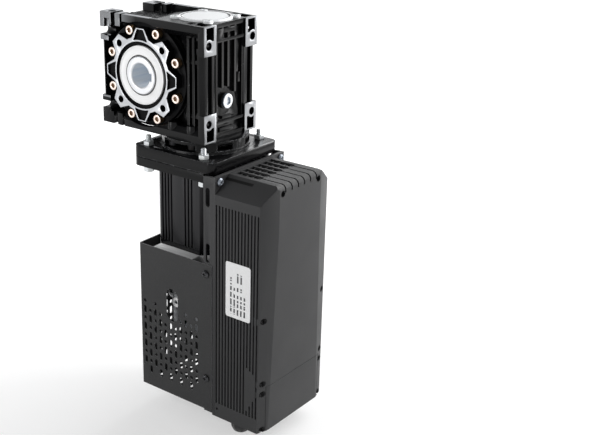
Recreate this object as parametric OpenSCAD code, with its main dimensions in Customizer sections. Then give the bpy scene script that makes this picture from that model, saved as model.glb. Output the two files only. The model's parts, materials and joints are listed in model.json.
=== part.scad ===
// High-speed door motor: a worm gearbox with a hollow output shaft, a servo
// motor with a spring brake hanging below it, and a drive box on its side.
// The origin is the centre of the output bore. +Y runs along the output shaft,
// +Z up to the worm's end cap and +X from the output shaft to the motor axis.

/* [Worm gearbox] */
// Distance from the output shaft's axis to the worm's axis
centre_distance = 50; // [44:0.5:62]
// Width of the gear housing, along the output shaft
gb_w = 85; // [80:1:104]
// Casting left outside the side cover, up to the foot faces
casting_margin = 5; // [4:0.5:10]
// Bore of the hollow output shaft
out_bore_d = 25; // [20:0.5:30]
// Outer diameter of the hollow output shaft
out_shaft_d = 40; // [36:1:46]
// How far the output shaft stands out of each star flange
shaft_proud = 1; // [0.5:0.5:4]
// Width of the keyway in the output bore
out_key_w = 8; // [6:0.5:10]
// Depth of the keyway beyond the bore
out_key_h = 3.3; // [2:0.1:3.8]
// Worm starts and wheel teeth give the ratio of the gearbox
wheel_teeth = 30; // [30:1:30]
// Pitch diameter of the worm in modules
worm_q = 10; // [10:1:10]
// Face width of the worm wheel
wheel_face = 22; // [18:1:24]
// Bolt circle of the star flanges
flange_pcd = 85; // [82:0.5:88]
// Tapped holes of the star flanges, at the thread's core
flange_hole_d = 6.8; // [5:0.1:7]
// Diameter of the pilot recess in the star flanges
pilot_d = 70; // [68:0.5:72]
// Foot hole spacing along the output shaft
foot_dy = 70; // [64:0.5:72]
// Foot hole spacing along the worm
foot_dz = 80; // [74:0.5:84]
// Diameter of the foot holes
foot_hole_d = 8.5; // [6:0.1:9]

/* [Input flange and motor] */
// Side of the square flange plates
flange_sq = 110; // [104:1:112]
// Corner radius of the square flange plates
flange_corner_r = 8; // [4:0.5:10]
// Thickness of the gearbox side's plate
adapter_plate_t = 11.8; // [10:0.1:15]
// Height of the round neck above that plate
neck_h = 12.7; // [12:0.1:18]
// Thickness of the motor side's plate
motor_plate_t = 10.5; // [8:0.1:14]
// Flange bolt spacing along X
bolt_dx = 76; // [74:0.5:78]
// Flange bolt spacing along Y
bolt_dy = 92; // [90:0.5:94]
// Side of the square motor extrusion
motor_af = 86; // [80:1:88]
// Chamfer on the corners of the extrusion
motor_chamfer = 15.5; // [12:0.5:17]
// Length of the motor extrusion
motor_len = 82; // [74:1:100]
// Diameter of the motor shaft in the worm
motor_shaft_d = 14; // [11:0.5:14]

/* [Rear cover] */
// Thickness of the cover's sheet
cover_t = 1.2; // [1:0.1:2]
// Height of the cover
cover_h = 172; // [160:1:200]
// Diameter of the round perforations
perf_d = 4.5; // [3:0.1:5]
// Length of the long perforations
perf_len = 9.4; // [7:0.1:10]
// Spacing of the perforation columns
perf_dx = 7.45; // [7:0.05:8]

/* [Drive box] */
// Height of the drive box
drive_h = 272; // [260:1:330]
// Width of the drive box, along Y
drive_w = 116; // [114:1:122]
// Depth of the drive housing in front of its base
drive_d = 64.6; // [58:0.2:80]
// Wall of the drive housing
drive_wall = 3; // [2:0.5:4]
// Number of cooling grooves in each side panel
groove_count = 14; // [6:1:14]
// Spacing of those grooves
groove_dx = 4.1; // [3.6:0.05:4.2]

/* [Hidden] */
$fn = 48;
eps = 0.02;      // overlap of a cut past the face that it starts from
fit = 0.04;      // radial clearance of a running or sliding fit

// Gear set
module_mm = 2 * centre_distance / (worm_q + wheel_teeth);
worm_starts = 2;
worm_pitch_r = worm_q * module_mm / 2;
worm_tip_r = worm_pitch_r + module_mm;
worm_root_r = worm_pitch_r - 1.04 * module_mm;
worm_lead = worm_starts * PI * module_mm;
worm_thread_l = 52 * module_mm / 2.5;
wheel_pitch_r = wheel_teeth * module_mm / 2;
wheel_root_r = wheel_pitch_r - 1.28 * module_mm;
wheel_out_r = wheel_pitch_r + 1.6 * module_mm;
wheel_slot_w = 1.76 * module_mm;
lead_angle = atan(worm_starts / worm_q);

// Gear housing, outwards from the wheel
chamber_r = wheel_out_r + 2.5;
cover_screw_r = chamber_r + 4.2;
cover_r = cover_screw_r + 6.8;
drum_r = cover_r + 1;
gb_half_h = cover_r + casting_margin;
gb_back = gb_half_h;
gb_front = centre_distance + 34;
star_proud = 2.5;
star_y = gb_w / 2 + star_proud;
shaft_len = 2 * (star_y + shaft_proud);
cover_plate_y = star_y - 9;
cover_seat_y = star_y - 15;
rim_t = casting_margin - 0.5;
deck_z = gb_half_h - 8.5;
frame_x0 = -gb_back + 0.6;
frame_x1 = gb_front - 2;
post_w = 8;
pad_w = 19;
pad_h = 30;
wall_x = gb_front - 6;
rib_t = 3;
foot_cut_d = 12;
foot_slot_d = 8;
top_hole_x0 = -gb_back + 11;
top_hole_x1 = centre_distance + 11;

// Output bearings and seals
out_seal_t = 8;
out_seal_r = 31;
out_seal_y = star_y - 0.5 - out_seal_t;
out_bearing_r = 34;
out_bearing_t = 15;
out_bearing_y = out_seal_y - 1 - out_bearing_t;
pilot_depth = 2.5;
hub_r = out_bearing_r + 4;
wheel_hub_r = wheel_root_r - 5;

// Worm shaft and its bearings
worm_bearing_r = 23.5;
worm_bearing_t = 14;
worm_journal_r = 10;
worm_barrel_r = worm_bearing_r + 4.5;
worm_bearing_z = worm_thread_l / 2 + 10;
cap_r = 28;
cap_t = 2;
cap_lug_r = 31;
cap_head_t = 1.3;
worm_foot_z = -gb_half_h + 2;
worm_seal_t = 7;
plug_y = -3.6;
plug_z = -21.5;
plug_seat_x = wall_x + 3;
plug_head_r = 7.5;

// Stack below the gearbox
neck_z = -gb_half_h - neck_h;
plate_z = neck_z - adapter_plate_t;
motor_z = plate_z - motor_plate_t;
body_end_z = motor_z - motor_len;
bell_t = 5.7;
brake_z = body_end_z - bell_t;
brake_h = 20.7;
brake_end_z = brake_z - brake_h;
neck_r = 47.4;
neck_screw_dx = 13;
neck_screw_y = 36;
motor_spigot_r = 40;
motor_bore_r = motor_af / 2 - 6;
bolt_proud = 11;
bolt_shift = 2;

// Brake, behind the motor
coil_h = 26;
coil_r = 36;
armature_gap = 0.4;
armature_t = 5;
armature_z = brake_end_z - coil_h - armature_gap;
disc_gap = 0.15;
disc_t = 7;
disc_z = armature_z - armature_t - disc_gap;
end_plate_z = disc_z - disc_t - disc_gap;
encoder_z = end_plate_z - 5;
encoder_h = 34;
encoder_r = 37;
lever_y = -48.5;
lever_pivot_z = brake_end_z - 12.6;
lever_t = 3;
eyelet_z = brake_end_z - 40.2;
eyelet_x = centre_distance - 1;

// Rear cover
cover_x0 = centre_distance - 45;
cover_x1 = centre_distance + 57;
cover_z1 = body_end_z - 4.4;
cover_z0 = cover_z1 - cover_h;
perf_cols = 11;
perf_rows = 8;
perf_dz = 10.45;
perf_x0 = cover_x0 + 6.4;
perf_z0 = cover_z1 - 67.5;
window_x = cover_x0 + 46.5;
window_w = 17;
window_h = 39;
window_z = cover_z1 - 62;

// Drive box
base_x = centre_distance + 57;
base_t = 4;
drive_x = base_x + base_t;
drive_top = motor_z + 9;
drive_bot = drive_top - drive_h;
half_w = drive_w / 2;
cover_y = half_w;
tab_x = centre_distance + 45.6;
tab_t = 2.6;
drive_tip_x = drive_x + drive_d;
drive_tip_bot_x = drive_tip_x - 3.3;
side_x1 = drive_x + 57;
bevel_slope = 13 / 4.4;
facet_dy = 22;
facet_dz = 16.5;
top_half_w = half_w - facet_dy;
lid_z = drive_top - 218;
label_x = drive_x + 30.4;
label_w = 32;
label_h = 61.4;
label_z = drive_top - 114.7;
groove_w = 1.9;
groove_depth = 1.5;
groove_z1 = drive_top - 27;
groove_z0 = drive_top - 255;
front_screw_y = 30.5;
side_screw_zs = [-141.6, -214, -226, -268.7];
screw_hole_r = 3.4;
gland_x = drive_x + 14;
gland_y = -30;

black_cast = "#141416";
bare_alu = "#c9ccd0";
steel = "#b9bdc2";
zinc = "#cfd3d8";
plastic_grey = "#3c3c3e";

// Cylinders along each axis, between two positions on it
module ycyl(r, y0, y1, x = 0, z = 0) {
  translate([x, y1, z]) rotate([90, 0, 0]) cylinder(r = r, h = y1 - y0);
}
module xcyl(r, x0, x1, y = 0, z = 0) {
  translate([x0, y, z]) rotate([0, 90, 0]) cylinder(r = r, h = x1 - x0);
}
module zcyl(r, z0, z1, x = 0, y = 0) {
  translate([x, y, z0]) cylinder(r = r, h = z1 - z0);
}
module zring(r1, r0, z0, z1, x = 0, y = 0) {
  difference() {
    zcyl(r1, z0, z1, x, y);
    zcyl(r0, z0 - 1, z1 + 1, x, y);
  }
}
module yring(r1, r0, y0, y1) {
  difference() {
    ycyl(r1, y0, y1);
    ycyl(r0, y0 - 1, y1 + 1);
  }
}
// Block between two corners
module block(a, b) {
  translate(a) cube(b - a);
}
// Extrusion along Y of an outline drawn in X and Z
module along_y(y0, y1) {
  translate([0, y1, 0]) rotate([90, 0, 0]) linear_extrude(y1 - y0) children();
}
// Extrusion along X of an outline drawn in Y and Z
module along_x(x0, x1) {
  translate([x0, 0, 0]) rotate([90, 0, 90]) linear_extrude(x1 - x0) children();
}
// Centred rectangle with round corners
module round_rect(w, h, r) {
  square([w - 2 * r, h], center = true);
  square([w, h - 2 * r], center = true);
  for (i = [-1, 1], j = [-1, 1])
    translate([i * (w / 2 - r), j * (h / 2 - r)]) circle(r);
}
// Upright slot with round ends
module obround(w, h) {
  square([w, h - w], center = true);
  for (j = [-1, 1]) translate([0, j * (h - w) / 2]) circle(w / 2);
}
// Square with cut corners
module cut_square(side, cut) {
  a = side / 2;
  polygon([[a, a - cut], [a - cut, a], [cut - a, a], [-a, a - cut],
           [-a, cut - a], [cut - a, -a], [a - cut, -a], [a, cut - a]]);
}
// Copies at each of n angles about the output axis
module around_y(n, first = 0) {
  for (k = [0 : n - 1]) rotate([0, -(first + k * 360 / n), 0]) children();
}
module mirrored_y() {
  children();
  mirror([0, 1, 0]) children();
}
module mirrored_z() {
  children();
  mirror([0, 0, 1]) children();
}
// Socket head cap screw along -Z, its head's underside at the origin
module cap_screw(d, len, head_d, head_h, key) {
  difference() {
    zcyl(head_d / 2, 0, head_h);
    translate([0, 0, head_h / 2]) cylinder(d = key / cos(30), h = head_h, $fn = 6);
  }
  zcyl(d / 2, -len, eps);
}
// Pan head screw along -Z with a cross recess
module pan_screw(d, len, head_d, head_h) {
  difference() {
    union() {
      zcyl(head_d / 2, 0, head_h * 0.45);
      translate([0, 0, head_h * 0.45]) cylinder(r1 = head_d / 2, r2 = head_d / 3.2, h = head_h * 0.55);
    }
    for (a = [0, 90]) rotate(a)
      translate([-head_d / 4, -head_d / 16, head_h * 0.4]) cube([head_d / 2, head_d / 8, head_h]);
  }
  zcyl(d / 2, -len, eps);
}

// Star flange outline, in X and Z, with scallops round the cover screws
star_tip_r = cover_screw_r + 1.2;
star_tip_w = 5.6;
star_diag_r = cover_screw_r + 1.8;
star_diag_w = 6.4;
scallop_r = 7.7;
module star_outline() {
  ring_r = cover_screw_r - 8;
  difference() {
    union() {
      circle(ring_r, $fn = 96);
      for (k = [0 : 3]) rotate(k * 90) {
        polygon([[ring_r - 6, -14.5], [star_tip_r, -star_tip_w],
                 [star_tip_r, star_tip_w], [ring_r - 6, 14.5]]);
        rotate(45) polygon([[ring_r - 6, -14], [star_diag_r, -star_diag_w],
                            [star_diag_r, star_diag_w], [ring_r - 6, 14]]);
      }
    }
    for (k = [0 : 7]) rotate(22.5 + k * 45) translate([cover_screw_r, 0]) circle(scallop_r);
  }
}
// Recess in each of the four arms on the axes
module arm_recesses() {
  inner_r = pilot_d / 2 + 2.3;
  for (k = [0 : 3]) rotate(k * 90) difference() {
    polygon([[inner_r - 3, -10.2], [star_tip_r - 1.8, -star_tip_w + 1.4],
             [star_tip_r - 1.8, star_tip_w - 1.4], [inner_r - 3, 10.2]]);
    circle(inner_r, $fn = 96);
  }
}
// One side's flange, drawn on the -Y side: plate, star, bearing pocket and seal bore
module flange_side(plate_r) {
  difference() {
    union() {
      ycyl(plate_r, -cover_plate_y, -cover_seat_y);
      along_y(-star_y, -cover_plate_y + eps) star_outline();
      ycyl(hub_r, -cover_plate_y, -out_bearing_y);
    }
    flange_side_cuts();
  }
}
module flange_side_cuts() {
  ycyl(out_bearing_r, -out_bearing_y - out_bearing_t, -out_bearing_y + 4);
  ycyl(out_seal_r, -star_y, -out_bearing_y);
  ycyl(pilot_d / 2, -star_y - 1, -star_y + pilot_depth);
  along_y(-star_y - 1, -star_y + 2.4) arm_recesses();
  around_y(4, 45) ycyl(flange_hole_d / 2, -star_y - 1, -star_y + 14, flange_pcd / 2, 0);
}

// Casting with the wheel chamber, the worm barrel and the foot faces
module gear_housing() color(black_cast) {
  difference() {
    union() {
      ycyl(drum_r, -cover_seat_y, cover_plate_y);
      zcyl(worm_barrel_r, -gb_half_h, gb_half_h, centre_distance, 0);
      block([frame_x0 + 1, -20, -deck_z + 1], [wall_x, 20, deck_z - 1]);
      housing_frame();
      housing_ribs();
      mirror([0, 1, 0]) flange_side(cover_r);
      cap_lug_positions() zcyl(5.5, -cap_t - 14, -cap_t);
      neck_screw_positions() zcyl(6.4, -gb_half_h, -gb_half_h + 16);
      xcyl(plug_head_r + 1.3, wall_x - 10, plug_seat_x, plug_y, plug_z);
    }
    ycyl(chamber_r, -cover_seat_y - 1, out_bearing_y - 3);
    ycyl(cover_r + 0.2, -gb_w / 2 - 1, -cover_seat_y);
    mirror([0, 1, 0]) flange_side_cuts();
    zcyl(worm_tip_r + 2, -worm_bearing_z - 1, worm_bearing_z + 1, centre_distance, 0);
    zcyl(worm_bearing_r, worm_bearing_z, gb_half_h + 1, centre_distance, 0);
    zcyl(worm_bearing_r, -gb_half_h - 1, -worm_bearing_z, centre_distance, 0);
    around_y(8, 22.5) ycyl(3, -cover_seat_y - 1, -cover_seat_y + 14, cover_screw_r, 0);
    cap_lug_positions() zcyl(2.5, -cap_t - 12, -cap_t + 1);
    neck_screw_positions() zcyl(3.4, -gb_half_h - 1, -gb_half_h + 13);
    xcyl(5, centre_distance, plug_seat_x + 1, plug_y, plug_z);
    xcyl(plug_head_r + 1.3, plug_seat_x, gb_front + 1, plug_y, plug_z);
    back_pockets();
    mirrored_y() mirrored_z() foot_cuts();
    mirrored_y() top_holes();
  }
}
// Rims, posts, decks and foot pads that make up the outer box of the casting
module housing_frame() {
  w = gb_w / 2;
  h = gb_half_h;
  beam_w = 6.5;
  beam_h = 7.5;
  beam_x0 = -28;
  lid_x0 = 16;
  difference() {
    union() {
      linear_extrude(2 * deck_z, center = true) frame_outline();
      // Raised end over the worm, with a beam along each side
      mirrored_z() translate([0, 0, deck_z - 1]) linear_extrude(h - deck_z + 1) intersection() {
        frame_outline();
        union() {
          translate([lid_x0, -w]) square([frame_x1 - lid_x0, gb_w]);
          for (s = [-1, 1]) translate([(beam_x0 + frame_x1) / 2, s * (w - beam_w / 2)])
            square([frame_x1 - beam_x0, beam_w], center = true);
        }
      }
    }
    // Open side windows between the rims and the posts, with beams that slope back to the decks
    along_y(-w - 1, w + 1) translate([(frame_x0 + rim_t + wall_x - 2) / 2, 0])
      square([wall_x - 2 - frame_x0 - rim_t, 2 * (deck_z - rim_t)], center = true);
    mirrored_y() mirrored_z() along_x(frame_x0 + rim_t, wall_x - 2) polygon([
      [w - beam_w + 1, deck_z - rim_t - 1], [w + 1, deck_z - rim_t - 1],
      [w + 1, h - beam_h], [w, h - beam_h]]);
    // Open front between the posts
    block([wall_x, -w + post_w, -h + rim_t], [gb_front + 1, w - post_w, h - rim_t]);
  }
  mirrored_y() mirrored_z() {
    block([gb_front - 8, w - pad_w, h - pad_h], [gb_front, w, h]);
    block([gb_front - 15, w - pad_w, h - pad_h], [gb_front - 7, w - 6, h - 1]);
    block([-gb_back, w - pad_w, h - pad_h], [-gb_back + foot_cut_d, w, h]);
    block([-gb_back, w - pad_w, deck_z - rim_t], [-gb_back + foot_cut_d + 4, w, h]);
    // Short rib between the pad and the beam
    block([beam_x0 - 10, w - 12.5, deck_z - rim_t], [beam_x0 - 3, w, h]);
  }
}
module frame_outline() {
  translate([(frame_x0 + frame_x1) / 2, 0]) round_rect(frame_x1 - frame_x0, gb_w, 6);
}
module housing_ribs() {
  w = gb_w / 2;
  h = gb_half_h;
  rib_x0 = drum_r + 2;
  mirrored_y() {
    for (k = [0 : 2]) translate([rib_x0 + k * 6, 0, 0])
      block([0, 18, -h + 1], [rib_t, w - 4 - k, h - 1]);
    block([rib_x0 - 3, 18, 20], [wall_x, w - 6, 24]);
    block([rib_x0 - 3, 18, -36], [wall_x, w - 6, -32]);
  }
  // Ribs, a column and short blocks on the +X face, as places along Y and Z
  for (r = [[-19.5, -h + 2, h - 2], [-9.8, -7, h - 2], [-0.7, -7, h - 2],
            [10.4, -14.4, h - 2], [16.4, -5, 5]])
    block([wall_x - 4, r[0] - rib_t / 2, r[1]], [frame_x1 - 1, r[0] + rib_t / 2, r[2]]);
  block([wall_x - 4, 21, -h + 2], [frame_x1 - 1, 30, h - 2]);
  for (b = [[-8.4, 49.5, 8.7, 54], [-10.8, -39.5, 3.8, -36.6], [-15, -53, 6.9, -48.6]])
    block([wall_x - 4, b[0], b[1]], [frame_x1 - 0.5, b[2], b[3]]);
  mirrored_z() block([wall_x - 4, -w + 4, foot_dz / 2 + 1], [frame_x1 + 0.5, w - 4, foot_dz / 2 + 4]);
  mirrored_y()
    block([wall_x - 4, w - pad_w, -h + pad_h - 1], [frame_x1 - 0.5, w - pad_w + 4, h - pad_h + 1]);
  block([wall_x - 4, -w + pad_w + 2, foot_dz / 2 + 3], [frame_x1 + 0.5, -w + pad_w + 13, h - 6]);
  // Ribs over the sunk decks, each a little lower than the last
  mirrored_z() for (k = [0 : 6])
    block([-gb_back + 14, (k - 3) * 9 - 1.2, deck_z - 1], [20, (k - 3) * 9 + 1.2, h - 2.5 - 0.95 * k]);
}
// Shallow pockets that leave ribs on the -X face, and one in the side of each upper corner
module back_pockets() {
  h = gb_half_h;
  w = gb_w / 2;
  pitch = 9.6;
  for (k = [-3 : 2]) mirrored_z()
    block([-gb_back - 1, k * pitch + rib_t / 2, 3],
          [frame_x0 + 2, (k + 1) * pitch - rib_t / 2, deck_z - 5]);
  mirrored_y() block([-gb_back + 6, w - 3.5, h - pad_h + 5], [-gb_back + 13.5, w + 1, h - 6.5]);
}
// Holes and pockets of one corner, at +Y and +Z
module foot_cuts() {
  w = gb_w / 2;
  h = gb_half_h;
  y = foot_dy / 2;
  z = foot_dz / 2;
  arch_r = foot_hole_d / 2 + 2.3;
  // Foot hole and pocket in the +X face
  xcyl(foot_hole_d / 2, gb_front - 15, gb_front + 1, y, z);
  difference() {
    block([gb_front - 9, w - 15.3, z + 4.6], [gb_front + 1, w - 3.7, h - 1.7]);
    xcyl(arch_r, gb_front - 10, gb_front + 2, y, z);
  }
  // Open foot slot in the -X face
  xcyl(foot_slot_d / 2, -gb_back - 1, -gb_back + foot_cut_d + 1, y, z);
  block([-gb_back - 1, y, z - foot_slot_d / 2], [-gb_back + foot_cut_d + 1, w + 1, z + foot_slot_d / 2]);
}
// Holes and pockets of the top face, at +Y
module top_holes() {
  h = gb_half_h;
  zcyl(foot_hole_d / 2, h - 15, h + 1, top_hole_x1, foot_dy / 2);
  zcyl(foot_hole_d / 2, h - 15, h + 1, top_hole_x0, foot_dy / 2);
  difference() {
    block([top_hole_x1 + 4.5, gb_w / 2 - 15.3, h - 8], [gb_front - 3.7, gb_w / 2 - 3.7, h + 1]);
    zcyl(foot_hole_d / 2 + 2.3, h - 9, h + 2, top_hole_x1, foot_dy / 2);
  }
}
// Bolted cover on the -Y side, which holds the front output bearing and seal
module side_cover() color(black_cast) {
  spigot_t = 4;
  difference() {
    union() {
      flange_side(cover_r);
      yring(chamber_r - fit, hub_r - 1, -cover_seat_y - eps, -cover_seat_y + spigot_t);
    }
    around_y(8, 22.5) ycyl(3.3, -cover_plate_y - 1, -cover_seat_y + 1, cover_screw_r, 0);
  }
}
module side_cover_screws() color("#c98b5a") {
  around_y(8, 22.5) translate([cover_screw_r, -cover_plate_y, 0]) rotate([90, 0, 0])
    cap_screw(5.9, 16, 10, 6, 5);
}
module output_seals() color("#d5d6d6") {
  mirrored_y() difference() {
    yring(out_seal_r, out_shaft_d / 2 + fit, -out_seal_y - out_seal_t, -out_seal_y);
    yring(out_seal_r - 1.5, out_shaft_d / 2 + 1.8, -star_y, -out_seal_y - out_seal_t + 0.4);
  }
}
module output_bearing_outers() color(steel) {
  mirrored_y() yring(out_bearing_r, out_shaft_d / 2 + 6, -out_bearing_y - out_bearing_t, -out_bearing_y);
}
module output_bearing_inners() color(steel) {
  mirrored_y()
    yring(out_shaft_d / 2 + 5.7, out_shaft_d / 2, -out_bearing_y - out_bearing_t, -out_bearing_y);
}
// Hollow output shaft with its keyway, shoulders and wheel hub
module output_shaft() color(bare_alu) {
  end = shaft_len / 2;
  chamfer = 1;
  difference() {
    rotate([90, 0, 0]) rotate_extrude($fn = 96) polygon([
      [0, -end], [out_shaft_d / 2 - chamfer, -end], [out_shaft_d / 2, -end + chamfer],
      [out_shaft_d / 2, -out_bearing_y], [out_shaft_d / 2 + 3, -out_bearing_y],
      [out_shaft_d / 2 + 3, -wheel_face / 2], [wheel_hub_r, -wheel_face / 2],
      [wheel_hub_r, wheel_face / 2], [out_shaft_d / 2 + 3, wheel_face / 2],
      [out_shaft_d / 2 + 3, out_bearing_y], [out_shaft_d / 2, out_bearing_y],
      [out_shaft_d / 2, end - chamfer], [out_shaft_d / 2 - chamfer, end], [0, end]]);
    ycyl(out_bore_d / 2, -end - 1, end + 1);
    block([0, -end - 1, -out_key_w / 2], [out_bore_d / 2 + out_key_h, end + 1, out_key_w / 2]);
    for (s = [-1, 1]) translate([0, s * end, 0]) rotate([s * -90, 0, 0])
      translate([0, 0, -1.2]) cylinder(r1 = out_bore_d / 2, r2 = out_bore_d / 2 + 1.3, h = 1.3);
  }
}
// Bronze rim with a hollow throat and one straight slot between each two teeth
module worm_wheel() color("#b58a45") {
  throat_r = worm_pitch_r - module_mm;
  difference() {
    rotate([90, 0, 0]) rotate_extrude($fn = 96) difference() {
      translate([wheel_hub_r, -wheel_face / 2]) square([wheel_out_r - wheel_hub_r, wheel_face]);
      translate([centre_distance, 0]) circle(throat_r);
    }
    around_y(wheel_teeth) wheel_slot();
  }
}
module wheel_slot() {
  slope = tan(20);
  w0 = wheel_slot_w / 2 - slope * (wheel_pitch_r - wheel_root_r);
  w1 = wheel_slot_w / 2 + slope * (wheel_out_r + 2 - wheel_pitch_r);
  rotate([-lead_angle, 0, 0]) along_y(-wheel_face, wheel_face)
    polygon([[wheel_root_r, -w0], [wheel_out_r + 2, -w1], [wheel_out_r + 2, w1], [wheel_root_r, w0]]);
}

// Worm with two right-handed threads on its shaft, bored for the motor shaft
module worm_shaft() color(steel) {
  journal_end = gb_half_h - 8;
  neck_r = worm_root_r - 0.6;
  translate([centre_distance, 0, 0]) difference() {
    union() {
      // Turned so that a thread points at the wheel's tooth space at z = 0
      translate([0, 0, -worm_thread_l / 2]) rotate(-180 * worm_thread_l / worm_lead)
        linear_extrude(worm_thread_l, twist = -360 * worm_thread_l / worm_lead,
                       slices = 66, segments = 14) worm_section();
      zcyl(neck_r, worm_thread_l / 2 - 1, worm_bearing_z - 4.5);
      zcyl(worm_journal_r + 3, worm_bearing_z - 5, worm_bearing_z);
      zcyl(worm_journal_r, worm_bearing_z - eps, journal_end);
      zcyl(neck_r, -worm_bearing_z + 4.5, -worm_thread_l / 2 + 1);
      zcyl(worm_journal_r + 3, -worm_bearing_z, -worm_bearing_z + 5);
      zcyl(worm_journal_r, worm_foot_z, -worm_bearing_z + eps);
    }
    zcyl(motor_shaft_d / 2, worm_foot_z - 1, -worm_thread_l / 2 - 1);
    block([-2.5, 0, worm_foot_z - 1], [2.5, motor_shaft_d / 2 + 2.3, -worm_thread_l / 2 - 6]);
  }
}
// Section across the worm, with one lobe for each start
module worm_section() {
  tip_a = 0.075 * 180;
  pitch_a = 0.191 * 180;
  root_a = 0.311 * 180;
  half_turn = 180 / worm_starts;
  polygon([for (s = [0 : worm_starts - 1], p = [
    [worm_root_r, -half_turn], [worm_root_r, -root_a], [worm_pitch_r, -pitch_a],
    [worm_tip_r, -tip_a], [worm_tip_r, tip_a], [worm_pitch_r, pitch_a], [worm_root_r, root_a]])
      let (a = p[1] + s * 360 / worm_starts) [p[0] * cos(a), p[0] * sin(a)]]);
}
module worm_bearing_outers() color(steel) {
  mirrored_z() zring(worm_bearing_r, worm_journal_r + 4.4, worm_bearing_z,
                     worm_bearing_z + worm_bearing_t, centre_distance, 0);
}
module worm_bearing_inners() color(steel) {
  mirrored_z() zring(worm_journal_r + 4.1, worm_journal_r, worm_bearing_z,
                     worm_bearing_z + worm_bearing_t, centre_distance, 0);
}
module cap_lug_positions() {
  for (k = [0 : 3]) translate([centre_distance, 0, 0]) rotate(45 + 90 * k)
    translate([cap_lug_r, 0, gb_half_h + cap_t]) children();
}
module worm_end_cap() color(bare_alu) {
  difference() {
    union() {
      translate([centre_distance, 0, gb_half_h]) rotate_extrude($fn = 96) polygon([
        [0, -8], [worm_bearing_r - fit, -8], [worm_bearing_r - fit, 0], [cap_r, 0],
        [cap_r, cap_t - 0.5], [cap_r - 0.5, cap_t], [cap_r - 2.6, cap_t], [cap_r - 2.6, cap_t - 0.9],
        [cap_r - 3.6, cap_t - 0.9], [cap_r - 3.6, cap_t - 0.2], [0, cap_t - 0.2]]);
      cap_lug_positions() translate([-4, 0, -cap_t]) linear_extrude(cap_t) {
        square([8, 10], center = true);
        translate([4, 0]) circle(5);
      }
    }
    cap_lug_positions() {
      zcyl(2.8, -5, 1);
      zcyl(3.6, -cap_head_t, 1);
    }
    zcyl(worm_bearing_r - 4, gb_half_h - 9, gb_half_h - 4, centre_distance, 0);
  }
}
module end_cap_screws() color(zinc) {
  cap_lug_positions() translate([0, 0, -cap_head_t]) cap_screw(4.9, 10, 6.8, cap_head_t + 0.2, 3);
}
module oil_plug() color(zinc) {
  difference() {
    union() {
      xcyl(4.96, plug_seat_x - 9, plug_seat_x, plug_y, plug_z);
      xcyl(plug_head_r, plug_seat_x, plug_seat_x + 2.3, plug_y, plug_z);
    }
    translate([plug_seat_x + 0.3, plug_y, plug_z]) rotate([0, 90, 0])
      cylinder(d = 8 / cos(30), h = 4, $fn = 6);
  }
}
module input_seal() color("#2a2a2a") {
  zring(worm_bearing_r, worm_journal_r + fit, -gb_half_h + 2.1, -gb_half_h + 2.1 + worm_seal_t,
        centre_distance, 0);
}

// Adapter between the gearbox and the motor: a round neck on a square plate
module input_flange() color(black_cast) {
  translate([centre_distance, 0, 0]) difference() {
    union() {
      zcyl(neck_r - 1, neck_z, -gb_half_h, 0, 0);
      zcyl(neck_r, neck_z, neck_z + 3);
      translate([0, 0, plate_z]) linear_extrude(adapter_plate_t)
        round_rect(flange_sq, flange_sq, flange_corner_r);
      zring(worm_bearing_r - fit, 18, -gb_half_h - eps, -gb_half_h + 2);
    }
    zcyl(14, plate_z - 1, -gb_half_h + 1);
    zcyl(30, plate_z - 1, -gb_half_h - 4);
    zcyl(motor_spigot_r + fit, plate_z - 1, plate_z + 3.5);
    // Pockets round the neck, two of them wide enough for a pair of screws
    for (s = [-1, 1], a = [-24, 24]) rotate(90 + 90 * s + a)
      block([neck_screw_y - 3, -9, neck_z + 3.5], [neck_r + 1, 9, -gb_half_h - 3.5]);
    for (s = [-1, 1]) rotate(90 * s)
      block([neck_screw_y - 7, -neck_screw_dx - 8, neck_z + 2.5],
            [neck_r + 1, neck_screw_dx + 8, -gb_half_h - 3.5]);
    translate([-centre_distance, 0, 0]) neck_screw_positions() zcyl(4.4, neck_z, -gb_half_h + 1);
    flange_bolt_holes(plate_z, neck_z);
  }
}
module neck_screw_positions() {
  for (i = [-1, 1], j = [-1, 1])
    translate([centre_distance + i * neck_screw_dx, j * neck_screw_y, 0]) children();
}
module input_flange_screws() color(black_cast) {
  neck_screw_positions() translate([0, 0, -gb_half_h - 3.5]) mirror([0, 0, 1])
    cap_screw(6.7, 15, 11, 5.5, 5);
}
module flange_bolt_positions() {
  for (i = [-1, 1], j = [-1, 1])
    translate([i * bolt_dx / 2 - bolt_shift, j * bolt_dy / 2, 0]) children();
}
module flange_bolt_holes(z0, z1) {
  flange_bolt_positions() zcyl(bolt_r + fit_gap, z0 - 1, z1 + 1);
}
bolt_r = 3;
fit_gap = 0.3;
washer_t = 1.6;
nut_h = 5;
bolt_head_h = 5.3;
hex_d = 10 / cos(30);
module flange_bolts() color(zinc) {
  translate([centre_distance, 0, 0]) flange_bolt_positions() {
    translate([0, 0, motor_z - washer_t - bolt_head_h]) cylinder(d = hex_d, h = bolt_head_h, $fn = 6);
    zcyl(bolt_r, motor_z - washer_t - eps, neck_z + bolt_proud - 0.7);
    translate([0, 0, neck_z + bolt_proud - 0.7]) cylinder(r1 = bolt_r, r2 = bolt_r - 0.7, h = 0.7);
  }
}
module flange_nuts() color(zinc) {
  translate([centre_distance, 0, 0]) flange_bolt_positions() difference() {
    translate([0, 0, neck_z]) rotate(15) cylinder(d = hex_d, h = nut_h, $fn = 6);
    zcyl(bolt_r, neck_z - 1, neck_z + bolt_proud);
  }
}
module flange_washers() color(zinc) {
  translate([centre_distance, 0, 0]) flange_bolt_positions()
    zring(6, bolt_r + fit_gap, motor_z - washer_t, motor_z);
}

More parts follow.
